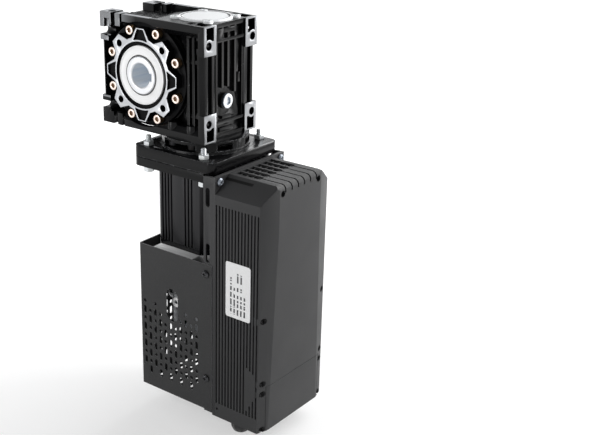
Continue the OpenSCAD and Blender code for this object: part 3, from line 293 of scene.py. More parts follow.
def studio_sky(as_light, in_mirrors, at_horizon):
    """White for the camera, plain grey as light, and in reflections a glow that fades above the horizon."""
    world = bpy.data.worlds.new("studio_sky")
    scene.world = world
    world.use_nodes = True
    tree = world.node_tree
    sky = tree.nodes["Background"]
    sky.inputs["Color"].default_value = SKY_COLOUR
    direction = add(tree, "ShaderNodeTexCoord").outputs["Generated"]
    height = add(tree, "ShaderNodeSeparateXYZ", None, {0: direction}).outputs["Z"]
    mirrored = remap(tree, height, *MIRRORED_BAND, at_horizon, in_mirrors)
    rays = add(tree, "ShaderNodeLightPath").outputs
    grey = mix_value(tree, rays["Is Glossy Ray"], as_light, mirrored)
    link(tree, mix_value(tree, rays["Is Camera Ray"], grey, 1.0), sky.inputs["Strength"])


studio_sky(as_light=0.3, in_mirrors=0.2, at_horizon=0.9)
print("sky:", scene.world.name)

# %% Lamps, as places from the object's middle in metres, sizes in metres and watts
middle = (cad_box[0] + cad_box[1]) / 2


def soft_lamp(name, offset, size, power, lift=0.0):
    """A rectangular soft box that faces the object's middle, or a point that is lifted above it."""
    data = bpy.data.lights.new(name, "AREA")
    data.shape = "RECTANGLE"
    data.size, data.size_y = size
    data.energy = power
    lamp = bpy.data.objects.new(name, data)
    place, aim = middle + Vector(offset), middle + Vector((0, 0, lift))
    lamp.location = place
    lamp.rotation_euler = (aim - place).to_track_quat("-Z", "Y").to_euler()
    scene.collection.objects.link(lamp)


soft_lamp("key_right", (1.2, 1.1, 0.75), (0.7, 1.4), 22)
soft_lamp("fill_left", (-0.45, -0.95, 0.45), (0.5, 0.8), 5.8, lift=0.15)
soft_lamp("top_box", (0.3, 1.1, 1.2), (1.2, 0.9), 16)
soft_lamp("back_rim", (-0.4, 1.5, 0.7), (1.2, 0.8), 6)
soft_lamp("left_strip", (-1.6, 0.1, 0.1), (0.25, 1.5), 5)
print("lamps:", [light.name for light in bpy.data.lights])

# %% [markdown]
# ## Soft edges on the parts
# The frame's meshes are loose triangles with knife edges. Light never catches such an edge, so a metal
# part looks like paper. A bevel in the shader would only bend the normals. Here each visible part is
# copied, its triangles are welded and its flat faces are joined, and the sharp edges get a small real
# bevel, as a casting, a moulding or a deburred part has. The copy then stands for the frame's part.

# %% Weld a copy of a part
WELD_DISTANCE = 0.004 * MM
FLAT_ANGLE, SHARP_ANGLE = math.radians(0.6), math.radians(28)
shown = dict(nodes)


def body_of(name):
    """The moving body that a part of the frame belongs to."""
    return nodes[name]["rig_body"]


def welded_mesh(name, join_flats=True):
    """A bmesh of one part with its triangles welded and, if asked, its flat faces joined."""
    mesh = bmesh.new()
    mesh.from_mesh(nodes[name].data)
    bmesh.ops.remove_doubles(mesh, verts=mesh.verts, dist=WELD_DISTANCE)
    if join_flats:
        bmesh.ops.dissolve_limit(mesh, angle_limit=FLAT_ANGLE, use_dissolve_boundaries=False,
                                 verts=mesh.verts, edges=mesh.edges, delimit={"NORMAL"})
    return mesh


def mark_sharp(mesh):
    """Keeps a crisp shading line on every edge that turns more than a shallow angle."""
    for edge in mesh.edges:
        edge.smooth = len(edge.link_faces) == 2 and edge.calc_face_angle(0) < SHARP_ANGLE


def finished_object(name, mesh, body):
    """Turns a bmesh into a smooth-shaded piece that rides on a body."""
    for face in mesh.faces:
        face.smooth = True
    data = bpy.data.meshes.new(name)
    mesh.to_mesh(data)
    mesh.free()
    piece = bpy.data.objects.new(name, data)
    scene.collection.objects.link(piece)
    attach(piece, body)
    return piece


def stand_in(name, piece):
    """Lets a piece stand for a part of the frame: the part is hidden, and the piece is listed in its place.
    """
    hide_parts(name)
    shown[name] = piece
    return piece


# %% Round the edges of a copy
BEVEL_ANGLE = math.radians(35)
OUTER_ROUND = 0.9 * MM


def bevel_modifier(piece, width):
    """Rounds every sharp edge of a piece."""
    bevel = piece.modifiers.new("soft_edges", "BEVEL")
    bevel.width = width
    bevel.segments = 2
    bevel.limit_method = "ANGLE"
    bevel.angle_limit = BEVEL_ANGLE
    bevel.use_clamp_overlap = True
    bevel.harden_normals = True
    bevel.miter_outer = "MITER_ARC"


def softened(name, width):
    """Replaces a part of the frame by a welded copy with rounded edges."""
    piece = finished_object(name + "_softened", welded_mesh(name), body_of(name))
    bevel_modifier(piece, width)
    return stand_in(name, piece)


def crisp(name, rounded=None):
    """Replaces a part by a welded copy with crisp flats. Only the edges that a test picks are rounded."""
    mesh = welded_mesh(name, join_flats=False)
    if rounded:
        picked = [edge for edge in mesh.edges if len(edge.link_faces) == 2 and rounded(edge)]
        bmesh.ops.bevel(mesh, geom=picked, offset=OUTER_ROUND, offset_type="OFFSET", segments=3,
                        profile=0.5, affect="EDGES", clamp_overlap=True, material=-1)
        print(name, "edges rounded:", len(picked))
    mark_sharp(mesh)
    return stand_in(name, finished_object(name + "_welded", mesh, body_of(name)))


# %% [markdown]
# ## Shared effects as node groups
# Four effects return on many materials: worn edges, faces that a cutter left bare, the rings that the
# cutter leaves, and the pebbled skin of a coating with the faint unevenness of handling. Each is a node
# group with named inputs, built once and placed wherever it is needed. Two short functions then turn a
# group's pattern into a shade of a colour or a drifting gloss.

# %% Start and place node groups
def start_group(name, inputs, outputs):
    """A node group with float or vector inputs and float outputs."""
    group = bpy.data.node_groups.new(name, "ShaderNodeTree")
    for label, value in inputs.items():
        kind = "NodeSocketFloat" if isinstance(value, float) else "NodeSocketVector"
        socket = group.interface.new_socket(label, in_out="INPUT", socket_type=kind)
        socket.default_value = value
    for label in outputs:
        group.interface.new_socket(label, in_out="OUTPUT", socket_type="NodeSocketFloat")
    print("node group", name, "gives", outputs)
    return group, add(group, "NodeGroupInput").outputs, add(group, "NodeGroupOutput").inputs


def place_group(tree, name, **values):
    """Puts a node group in a material and returns its outputs."""
    inputs = {label.replace("_", " "): value for label, value in values.items()}
    return add(tree, "ShaderNodeGroup", {"node_tree": bpy.data.node_groups[name]}, inputs).outputs


# %% Worn edges
def build_edge_wear():
    """A mask that is 1 where the surface turns sharply within a width, broken up by noise."""
    inputs = {"Width": 0.0008, "Patch Scale": 0.25, "Cover": 0.5}
    group, given, result = start_group("edge_wear", inputs, ["Mask"])
    rounded = add(group, "ShaderNodeBevel", {"samples": 4}, {"Radius": given["Width"]}).outputs[0]
    flat = add(group, "ShaderNodeNewGeometry").outputs["Normal"]
    turned = maths(group, "SUBTRACT", 1.0, dot(group, rounded, flat))
    sharp = remap(group, turned, 0.02, 0.10)
    patches = add(group, "ShaderNodeTexNoise", None,
                  {"Vector": in_millimetres(group), "Scale": given["Patch Scale"], "Detail": 4.0})
    level = maths(group, "SUBTRACT", 1.0, given["Cover"])
    open_patch = maths(group, "SUBTRACT", patches.outputs["Fac"], level)
    patch = maths(group, "MULTIPLY", open_patch, 6.0, clamp=True)
    link(group, maths(group, "MULTIPLY", sharp, patch), result["Mask"])


build_edge_wear()


# %% Bare machined planes
PLANE_TOLERANCE = 0.12


def build_machined_plane():
    """A mask that is 1 on the flat face that looks along a direction at a level, in millimetres."""
    inputs = {"Direction": (0.0, 0.0, 1.0), "Level": 60.0}
    group, given, result = start_group("machined_plane", inputs, ["Mask"])
    across = dot(group, in_millimetres(group), given["Direction"])
    off = maths(group, "ABSOLUTE", maths(group, "SUBTRACT", across, given["Level"]))
    on_plane = maths(group, "LESS_THAN", off, PLANE_TOLERANCE)
    looks_along = maths(group, "GREATER_THAN", facing(group, given["Direction"]), 0.97)
    link(group, maths(group, "MULTIPLY", on_plane, looks_along), result["Mask"])


build_machined_plane()


# %% Rings round an axis
# The plane that rings lie in, with 0 along their own axis.
ROUND_Y = (1.0, 0.0, 1.0)
ROUND_Z = (1.0, 1.0, 0.0)


def build_turning_rings():
    """Fine rings round an axis through a centre, as a lathe or a face cutter leaves them."""
    inputs = {"Centre": (0.0, 0.0, 0.0), "Across": ROUND_Y, "Pitch": 0.35}
    group, given, result = start_group("turning_rings", inputs, ["Height", "Radius"])
    away = add(group, "ShaderNodeVectorMath", {"operation": "SUBTRACT"},
               {0: in_millimetres(group), 1: given["Centre"]}).outputs[0]
    flat = add(group, "ShaderNodeVectorMath", {"operation": "MULTIPLY"},
               {0: away, 1: given["Across"]}).outputs[0]
    radius = add(group, "ShaderNodeVectorMath", {"operation": "LENGTH"}, {0: flat}).outputs["Value"]
    turns = maths(group, "DIVIDE", radius, given["Pitch"])
    ring = add(group, "ShaderNodeTexNoise", {"noise_dimensions": "1D"},
               {"W": turns, "Scale": 1.0, "Detail": 3.0})
    link(group, ring.outputs["Fac"], result["Height"])
    link(group, radius, result["Radius"])


build_turning_rings()


# %% Pebbled coating and handling
def build_coating_skin():
    """The pebbled height of a coating, and a slow drift of its gloss."""
    inputs = {"Pebble": 1.6, "Drift Scale": 0.02}
    group, given, result = start_group("coating_skin", inputs, ["Height", "Drift"])
    point = in_millimetres(group)
    fine = add(group, "ShaderNodeTexNoise", None,
               {"Vector": point, "Scale": given["Pebble"], "Detail": 1.5})
    slow = add(group, "ShaderNodeTexNoise", None,
               {"Vector": point, "Scale": given["Drift Scale"], "Detail": 5.0})
    link(group, fine.outputs["Fac"], result["Height"])
    link(group, remap(group, slow.outputs["Fac"], 0.3, 0.7, -1.0, 1.0), result["Drift"])


build_coating_skin()


# %% A shade of a colour, and a drifting gloss
def scaled(colour, factor):
    """A colour made darker or paler, with no channel above 1."""
    return tuple(min(1, factor * channel) for channel in colour)


def shaded(tree, height, colour, share, low=0.35, high=0.65):
    """A colour that darkens to a share of itself where a height pattern is low."""
    return mix_colour(tree, remap(tree, height, low, high), scaled(colour, share), colour)


def drifting(tree, skin, level, spread=0.04):
    """A roughness that wanders round a level, as handling leaves it."""
    return maths(tree, "MULTIPLY_ADD", skin["Drift"], spread, level)


print("shared effects:", [group.name for group in bpy.data.node_groups])

# %% [markdown]
# ## Cast parts: gloss black paint with machined faces
# The gearbox is an aluminium casting that was painted black, and then milled where something bolts on.
# Those milled faces are bare. Their places are planes that the frame knows, so a mask picks them by
# position and direction, and no edge has to be drawn by hand. Bare metal that faces +X, as on the feet,
# is darkened as painted shade, because the key lamp lights that side. The paint is glossy with a slight
# orange peel. It is thin on the edges, where the metal starts to show. A patch on the end of the front
# that lies far from the worm takes a pale, bare metal colour that fades out along X.

# %% Masks of the casting finish
BARE_METAL = (0.54, 0.55, 0.57)
DULL_METAL = (0.46, 0.47, 0.49)
# Painted shade: bare metal that faces +X, the side that the key lamp lights, is darkened to this colour.
SHADED_FOOT_METAL = (0.30, 0.305, 0.315)
GLOSS_BLACK = (0.004, 0.004, 0.0045)
METAL_ROUGH = 0.34
WEAR_SHARE = 0.55


def pale_patch_mask(tree, low, high, strongest):
    """A mask on faces that look to -Y between two corners. It fades out along +X."""
    place = place_mm(tree)
    fade = remap(tree, place["X"], low.x, high.x, strongest, 0.0)
    looks_out = maths(tree, "GREATER_THAN", facing(tree, (0, -1, 0)), 0.95)
    in_depth = band(tree, place["Y"], low.y, high.y)
    patch = maths(tree, "MULTIPLY", in_depth, band(tree, place["Z"], low.z, high.z))
    return maths(tree, "MULTIPLY", maths(tree, "MULTIPLY", fade, looks_out), patch)


def bare_planes(tree, planes, bare):
    """Adds planes to a mask, each as (direction, level, end along X if it has one), in millimetres."""
    for direction, level, *end in planes:
        mask = place_group(tree, "machined_plane", Direction=direction, Level=level)["Mask"]
        if end:
            mask = maths(tree, "MULTIPLY", mask, maths(tree, "LESS_THAN", place_mm(tree)["X"], end[0]))
        bare = mask if bare is None else maths(tree, "MAXIMUM", bare, mask)
    return bare


print("milled metal:", BARE_METAL, "feet:", SHADED_FOOT_METAL)


# %% The casting finish
def painted_casting(name, planes, wear=0.36, gloss=0.2, shine=0.16,
                    centre=(0, 0, 0), across=ROUND_Y, thin=None):
    """Gloss black paint that leaves some planes bare, with worn edges, painted shade on bare metal that
    faces +X, and, if asked, a pale patch of bare metal colour.
    """
    material, tree, shader = start_material(name)
    # The pale patch, if one is given, joins the bare planes.
    bare = bare_planes(tree, planes, pale_patch_mask(tree, *thin) if thin else None)
    worn = place_group(tree, "edge_wear", Width=0.0007, Patch_Scale=0.22, Cover=wear)["Mask"]
    worn = maths(tree, "MULTIPLY", worn, WEAR_SHARE)
    metal = worn if bare is None else maths(tree, "MAXIMUM", bare, worn)
    skin = place_group(tree, "coating_skin", Pebble=0.55, Drift_Scale=0.03)
    rings = place_group(tree, "turning_rings", Centre=centre, Across=across, Pitch=0.45)
    metal_colour = mix_colour(tree, remap(tree, rings["Height"], 0.3, 0.7), DULL_METAL, BARE_METAL)
    # Painted shade: the bare metal turns darker where it faces +X, towards the key lamp.
    foot_shade = remap(tree, facing(tree, (1, 0, 0)), 0.7, 0.97)
    metal_colour = mix_colour(tree, foot_shade, metal_colour, SHADED_FOOT_METAL)
    metal_rough = remap(tree, rings["Height"], 0.3, 0.7, 0.86 * METAL_ROUGH, 1.06 * METAL_ROUGH)
    height = mix_value(tree, metal, skin["Height"], rings["Height"])
    feed(tree, shader, Base_Color=mix_colour(tree, metal, GLOSS_BLACK, metal_colour),
         Metallic=maths(tree, "MULTIPLY", metal, 0.8), Specular_IOR_Level=shine,
         Roughness=mix_value(tree, metal, drifting(tree, skin, gloss), metal_rough),
         Normal=bump(tree, height, 0.03))
    return material


print("casting paint:", GLOSS_BLACK)

# %% [markdown]
# ## Metals
# Bare metal is never one even mirror. A turned part carries rings round its own axis, an extrusion
# carries lines along its length, and plating has a slow drift of tint. The same rings group serves every
# turned part: only its centre and the plane that it lies in change.

# %% Turned metal
def turned_metal(name, colour, rough, centre=(0, 0, 0), across=ROUND_Y, pitch=0.4):
    """Bare metal with the rings of a lathe round an axis."""
    material, tree, shader = start_material(name)
    rings = place_group(tree, "turning_rings", Centre=centre, Across=across, Pitch=pitch)
    skin = place_group(tree, "coating_skin", Pebble=1.2, Drift_Scale=0.05)
    ring_rough = remap(tree, rings["Height"], 0.3, 0.7, rough * 1.15, rough * 0.85)
    feed(tree, shader, Base_Color=shaded(tree, rings["Height"], colour, 0.82), Metallic=1.0,
         Roughness=drifting(tree, skin, ring_rough, 0.035), Normal=bump(tree, rings["Height"], 0.012))
    return material


# %% The hollow shaft
# Painted reflection: the bore's wall is pale bluish, as the sky that it mirrors.
BORE_REFLECTION_COLOURS = ((0.76, 0.83, 0.91), (0.92, 0.96, 1.0))
FACE_COLOURS = ((0.74, 0.75, 0.77), (0.82, 0.83, 0.85))


def hollow_shaft_metal(name, bore_radius):
    """A turned end face with rings, round a bore whose wall is dull, shows the broach's lines, and is pale
    bluish as a painted reflection of the sky.
    """
    material, tree, shader = start_material(name)
    rings = place_group(tree, "turning_rings", Pitch=0.4)
    in_bore = maths(tree, "LESS_THAN", rings["Radius"], bore_radius + 0.1)
    lines = noise(tree, 0.35, detail=3.0, stretch=(1, 0.03, 1))
    # The wall's pale bluish colour is a painted reflection.
    wall = mix_colour(tree, remap(tree, lines, 0.35, 0.65), *BORE_REFLECTION_COLOURS)
    face = mix_colour(tree, remap(tree, rings["Height"], 0.35, 0.65), *FACE_COLOURS)
    height = mix_value(tree, in_bore, rings["Height"], lines)
    feed(tree, shader, Base_Color=mix_colour(tree, in_bore, face, wall),
         Metallic=mix_value(tree, in_bore, 0.6, 0.0), Roughness=mix_value(tree, in_bore, 0.4, 0.6),
         Normal=bump(tree, height, 0.012))
    return material


print("hollow shaft: face", FACE_COLOURS, "and wall", BORE_REFLECTION_COLOURS)


# %% Faced discs
def turned_disc_metal(name, colour, dark, low, high, centre=(0, 0, 0), across=ROUND_Y, metallic=0.3):
    """A pale faced disc with one dark ring between two radii. On the end cap that ring is painted shade in
    a groove; on the seals it is their rubber, with painted shade of the gap at the shaft.
    """
    material, tree, shader = start_material(name)
    rings = place_group(tree, "turning_rings", Centre=centre, Across=across, Pitch=0.9)
    skin = place_group(tree, "coating_skin", Pebble=1.2, Drift_Scale=0.06)
    face = shaded(tree, rings["Height"], colour, 0.93)
    # The dark ring is painted shade, and on the seals also their rubber.
    dark_ring = band(tree, rings["Radius"], low, high)
    feed(tree, shader, Base_Color=mix_colour(tree, dark_ring, face, dark),
         Metallic=maths(tree, "MULTIPLY_ADD", dark_ring, -metallic, metallic),
         Roughness=drifting(tree, skin, 0.5), Normal=bump(tree, rings["Height"], 0.004))
    return material


# %% Plated heads and plated steel
def lit_front_metal(name, front, side, direction, rough=0.3, metallic=0.8):
    """A plated head with a painted highlight on its front face, and painted shade round its side and in its
    socket.
    """
    material, tree, shader = start_material(name)
    skin = place_group(tree, "coating_skin", Pebble=2.0, Drift_Scale=0.2)
    on_front = remap(tree, facing(tree, direction), 0.3, 0.9)
    bright = shaded(tree, skin["Height"], front, 0.85, 0.3, 0.7)
    feed(tree, shader, Base_Color=mix_colour(tree, on_front, side, bright), Metallic=metallic,
         Roughness=drifting(tree, skin, rough), Normal=bump(tree, skin["Height"], 0.006))
    return material


def plated_metal(name, colour, tint, rough=0.26, metallic=1.0):
    """Plated steel: a cool metal with a slow drift of tint and a faint grain."""
    material, tree, shader = start_material(name)
    skin = place_group(tree, "coating_skin", Pebble=2.4, Drift_Scale=0.16)
    worn = place_group(tree, "edge_wear", Width=0.0004, Patch_Scale=0.6, Cover=0.7)["Mask"]
    base = mix_colour(tree, remap(tree, skin["Drift"], -1.0, 1.0), colour, tint)
    feed(tree, shader, Base_Color=mix_colour(tree, worn, base, scaled(colour, 1.15)), Metallic=metallic,
         Roughness=drifting(tree, skin, rough, 0.05), Normal=bump(tree, skin["Height"], 0.008))
    return material


# %% Extruded and ground metal
def drawn_metal(name, colour, rough, stretch=(2.2, 2.2, 0.03), metallic=1.0, wear=0.0):
    """Metal with fine lines along one axis, as an extrusion die or a belt leaves them."""
    material, tree, shader = start_material(name)
    lines = noise(tree, 1.0, detail=3.0, stretch=stretch)
    skin = place_group(tree, "coating_skin", Pebble=1.0, Drift_Scale=0.03)
    base = shaded(tree, lines, colour, 0.84)
    if wear:
        worn = place_group(tree, "edge_wear", Width=0.0006, Patch_Scale=0.3, Cover=wear)["Mask"]
        base = mix_colour(tree, maths(tree, "MULTIPLY", worn, 0.5), base, BARE_METAL)
    line_rough = remap(tree, lines, 0.3, 0.7, rough * 1.12, rough * 0.88)
    feed(tree, shader, Base_Color=base, Metallic=metallic,
         Roughness=drifting(tree, skin, line_rough, 0.03), Normal=bump(tree, lines, 0.012))
    return material


# %% [markdown]
# ## Sheet metal and plastic
# The perforated cover and the drive's base are powder coated: matte, with a pebble that is finer than a
# millimetre. The cut walls of the sheet are given a paler grey. The drive's box is moulded plastic with a
# spark-eroded grain, a little smoother where hands have polished its edges. Both need a rough, low
# reflection that hides the lamps.

# %% Powder coat
# The cut walls of the sheet take this paler grey.
CUT_GREY = (0.26, 0.26, 0.265)
CUT_MARGIN = 0.12
BEND_SHARE = 1.7


def sheet_cuts(tree, low, high, thickness):
    """A mask on the cut walls of a bent sheet: its top edge, and the walls of the holes in its sides."""
    place = place_mm(tree)
    upright = maths(tree, "GREATER_THAN", maths(tree, "ABSOLUTE", facing(tree, (0, 0, 1))), 0.3)
    from_end = maths(tree, "SUBTRACT", place["X"], low.x)
    depth = maths(tree, "MINIMUM", maths(tree, "SUBTRACT", place["Y"], low.y),
                  maths(tree, "SUBTRACT", high.y, place["Y"]))
    past_bend = maths(tree, "GREATER_THAN", from_end, BEND_SHARE * thickness)
    in_side = maths(tree, "MULTIPLY", band(tree, depth, CUT_MARGIN, thickness - CUT_MARGIN), past_bend)
    in_end = band(tree, from_end, CUT_MARGIN, thickness - CUT_MARGIN)
    return maths(tree, "MAXIMUM", in_side, maths(tree, "MULTIPLY", in_end, upright))


def powder_coat(name, colour, rough=0.52, cuts=None):
    """Matte coating with a fine pebble, thin on the edges, and a paler grey on cut walls."""
    material, tree, shader = start_material(name)
    skin = place_group(tree, "coating_skin", Pebble=1.8, Drift_Scale=0.018)
    worn = place_group(tree, "edge_wear", Width=0.0006, Patch_Scale=0.18, Cover=0.2)["Mask"]
    paler = tuple(1.7 * channel + 0.006 for channel in colour)
    speck = remap(tree, skin["Height"], 0.35, 0.75, 0.0, 0.5)
    base = mix_colour(tree, maths(tree, "MAXIMUM", speck, worn), colour, paler)
    if cuts:
        base = mix_colour(tree, sheet_cuts(tree, *cuts), base, CUT_GREY)
    feed(tree, shader, Base_Color=base, Metallic=0.0, Specular_IOR_Level=0.25,
         Roughness=drifting(tree, skin, rough, 0.05), Normal=bump(tree, skin["Height"], 0.05))
    return material


print("cut walls of the sheet:", CUT_GREY)


# %% Moulded plastic
# Painted shade: the inside of a hollow moulding is painted this near black.
PAINTED_SHADE_INSIDE = (0.002, 0.002, 0.002)
PLASTIC_ROUGH = 0.5


def inside_box(tree, low, high):
    """A mask that is 1 between two corners in millimetres."""
    place = place_mm(tree)
    mask = 1.0
    for axis, start, end in zip("XYZ", low, high):
        mask = maths(tree, "MULTIPLY", mask, band(tree, place[axis], start, end))
    return mask


def moulded_plastic(name, colour, hollow=None):
    """Grained plastic with edges that handling has polished. Inside a hollow it is painted nearly black, as
    painted shade.
    """
    material, tree, shader = start_material(name)
    skin = place_group(tree, "coating_skin", Pebble=2.6, Drift_Scale=0.02)
    worn = place_group(tree, "edge_wear", Width=0.0008, Patch_Scale=0.12, Cover=0.35)["Mask"]
    paler = tuple(1.25 * channel + 0.004 for channel in colour)
    base = mix_colour(tree, worn, shaded(tree, skin["Height"], colour, 0.9, 0.3, 0.7), paler)
    if hollow:
        base = mix_colour(tree, inside_box(tree, *hollow), base, PAINTED_SHADE_INSIDE)
    matte = drifting(tree, skin, PLASTIC_ROUGH)
    feed(tree, shader, Base_Color=base, Specular_IOR_Level=0.3,
         Roughness=mix_value(tree, worn, matte, PLASTIC_ROUGH * 0.75),
         Normal=bump(tree, skin["Height"], 0.04))
    return material


print("inside of the moulded box:", PAINTED_SHADE_INSIDE)

# %% [markdown]
# ## The parts inside
# Most of these parts show only through the perforated cover, or when the motor is opened on a bench.
# They still get the finish of the real thing: stacked laminations are fine lines across the axis,
# windings are lacquered copper wire, and a circuit board is green lacquer over a faint copper pattern.

# %% Laminations and windings
SHEET_PITCH, WIRE_PITCH = 0.5, 0.9
# Painted shade in the crevices between the rows of wire.
SHADE_BETWEEN_WIRES = (0.10, 0.03, 0.01)


def laminated_steel(name, colour):
    """A stack of thin sheets, seen as fine lines across the motor's axis."""
    material, tree, shader = start_material(name)
    wave = maths(tree, "SINE", maths(tree, "MULTIPLY", place_mm(tree)["Z"], 2 * math.pi / SHEET_PITCH))
    sheet = remap(tree, wave, -1.0, 1.0)
    blotch = noise(tree, 0.3, detail=4.0)
    feed(tree, shader, Base_Color=mix_colour(tree, sheet, scaled(colour, 0.55), colour), Metallic=1.0,
         Roughness=remap(tree, blotch, 0.3, 0.7, 0.38, 0.6), Normal=bump(tree, sheet, 0.08))
    return material


def wound_wire(name, colour):
    """Lacquered copper wire, wound in rows, with painted shade between them."""
    material, tree, shader = start_material(name)
    row = noise(tree, 1.0 / WIRE_PITCH, detail=1.0, stretch=(1, 1, 0.12))
    feed(tree, shader, Base_Color=mix_colour(tree, remap(tree, row, 0.35, 0.6), SHADE_BETWEEN_WIRES, colour),
         Metallic=0.85, Roughness=remap(tree, row, 0.3, 0.7, 0.5, 0.28), Coat_Weight=0.6,
         Normal=bump(tree, row, 0.3))
    return material


print("laminations every", SHEET_PITCH, "mm, wires every", WIRE_PITCH, "mm")


# %% Lining, boards and plain mouldings
LACQUER = (0.010, 0.085, 0.03)


def friction_lining(name, colour):
    """Pressed friction material with light and dark flecks."""
    material, tree, shader = start_material(name)
    fleck = noise(tree, 1.4, detail=6.0, rough=0.7)
    flecked = mix_colour(tree, remap(tree, fleck, 0.5, 0.72), colour, scaled(colour, 3.2))
    feed(tree, shader, Base_Color=flecked, Roughness=0.82, Normal=bump(tree, fleck, 0.08))
    return material


def circuit_board(name, axis_scale):
    """Green lacquer over a faint pattern of copper tracks."""
    material, tree, shader = start_material(name)
    point = add(tree, "ShaderNodeVectorMath", {"operation": "MULTIPLY"},
                {0: in_millimetres(tree), 1: axis_scale}).outputs[0]
    cells = add(tree, "ShaderNodeTexVoronoi", {"distance": "CHEBYCHEV"}, {"Vector": point, "Scale": 0.35})
    track = remap(tree, cells.outputs["Distance"], 0.30, 0.34)
    feed(tree, shader, Base_Color=mix_colour(tree, track, scaled(LACQUER, 1.9), LACQUER),
         Roughness=0.24, Coat_Weight=0.5, Normal=bump(tree, track, -0.03))
    return material


def plain_finish(name, colour, rough, metallic=0.0, pebble=1.5, depth=0.03):
    """A simple moulded or pressed finish with grain and a drift of gloss."""
    material, tree, shader = start_material(name)
    skin = place_group(tree, "coating_skin", Pebble=pebble, Drift_Scale=0.06)
    feed(tree, shader, Base_Color=shaded(tree, skin["Height"], colour, 0.85, 0.3, 0.7),
         Metallic=metallic, Roughness=drifting(tree, skin, rough, 0.05),
         Normal=bump(tree, skin["Height"], depth))
    return material


print("board lacquer:", LACQUER)


# %% [markdown]
# ## The rating plate
# A rating plate is a white foil with rows of print. The real one names its maker, so this one stays
# generic: rows of short grey bars where words would stand. Everything is drawn from the plate's own
# corners, so the print stays on the plate.

# %% A printed plate without words
INK = (0.05, 0.05, 0.055)
PRINT_MARGIN = 5.0
LINE_PITCH = 4.4
LINE_BAND = (0.22, 0.68)


def printed_plate(name, low, high):
    """White foil with rows of broken grey bars, laid out between two corners in millimetres."""
    material, tree, shader = start_material(name)
    place = place_mm(tree)
    across = maths(tree, "SUBTRACT", place["X"], low.x)
    along = maths(tree, "SUBTRACT", place["Z"], low.z)
    width, length = high.x - low.x, high.z - low.z
    line = maths(tree, "DIVIDE", maths(tree, "SUBTRACT", across, PRINT_MARGIN), LINE_PITCH)
    row = maths(tree, "FLOOR", line)
    seed = add(tree, "ShaderNodeTexWhiteNoise", {"noise_dimensions": "1D"}, {"W": row}).outputs["Value"]
    reach = maths(tree, "MULTIPLY_ADD", seed, 0.4 * length, 0.5 * length)
    dash = noise(tree, 0.5, detail=0.0, stretch=(0.05, 0.05, 1))
    bar = band(tree, maths(tree, "FRACT", line), *LINE_BAND)
    for mask in (band(tree, along, PRINT_MARGIN - 1, reach), maths(tree, "GREATER_THAN", dash, 0.45),
                 band(tree, across, PRINT_MARGIN, width - PRINT_MARGIN + 1)):
        bar = maths(tree, "MULTIPLY", bar, mask)
    skin = place_group(tree, "coating_skin", Pebble=1.0, Drift_Scale=0.05)
    feed(tree, shader, Base_Color=mix_colour(tree, bar, (1.0, 1.0, 1.0), INK),
         Roughness=drifting(tree, skin, 0.38), Normal=bump(tree, skin["Height"], 0.01))
    return material


print("printed lines are", LINE_PITCH, "mm apart")

# %% [markdown]
# ## One finish for each part
# The casting's bare planes come from the frame's own boxes, so they stay on the faces if a size changes.
# Each part then takes its material by name, region by region from the gearbox to the drive box.

# %% Planes and corners in millimetres
def box_mm(name):
    """The lowest and highest corner of a part, in millimetres."""
    low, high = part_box(name)
    return low / MM, high / MM


housing_low, housing_high = box_mm("gear_housing")
flange_low, flange_high = box_mm("input_flange")
on_motor = {"centre": ((flange_low.x + flange_high.x) / 2, 0, 0), "across": ROUND_Z}
cover_face = -box_mm("side_cover")[0].y
# The milled top and bottom stop at this X. Beyond it the raised end and the beams keep their paint.
MILLED_END = 10.0
housing_planes = [((1, 0, 0), housing_high.x), ((-1, 0, 0), -housing_low.x), ((0, 1, 0), housing_high.y),
                  ((0, 0, 1), housing_high.z, MILLED_END), ((0, 0, -1), -housing_low.z, MILLED_END)]
# A patch of the front takes a pale, bare metal colour that fades out along X, between these places along X,
# Y and Z.
PALE_PATCH_X, PALE_PATCH_Z = (-36, -8), (-32, 61)
PALE_PATCH_Y = (housing_low.y - 1, housing_low.y + 7)
PALE_PATCH_STRENGTH = 0.5
pale_low, pale_high = (Vector(corner) for corner in zip(PALE_PATCH_X, PALE_PATCH_Y, PALE_PATCH_Z))
pale_front_patch = (pale_low, pale_high, PALE_PATCH_STRENGTH)
# The drive box is hollow inside its wall, its shoulders and its bevelled front. That hollow is painted
# nearly black, as painted shade.
WALL, SHOULDER, BEVEL = 2.5, 16.0, 30.0
drive_low, drive_high = box_mm("drive_housing")
drive_shaded_hollow = (drive_low + Vector((-1, SHOULDER, WALL)), drive_high - Vector((BEVEL, SHOULDER, WALL)))
print("gearbox from", [round(v, 1) for v in housing_low], "to", [round(v, 1) for v in housing_high])

# %% [markdown]
# The gearbox is one black casting. The end of its hollow shaft, its seals and the cap at the worm's end
# are turned, so rings run round them. The shaft's bore is pale bluish as a painted reflection, and the
# cap's groove is a dark ring of painted shade. The side cover's screws have a warm, copper-toned plating,
# with a painted highlight on their fronts and painted shade round their sides. Inside, the wheel is
# bronze, and the shafts and bearings are ground steel.

# %% Finishes of the gearbox
# The seals are dark out to a little past the shaft's radius: their rubber, with painted shade of the gap at
# the shaft.
SHAFT_RADIUS, SEAL_RUBBER_AND_SHADE = 20.0, 1.4
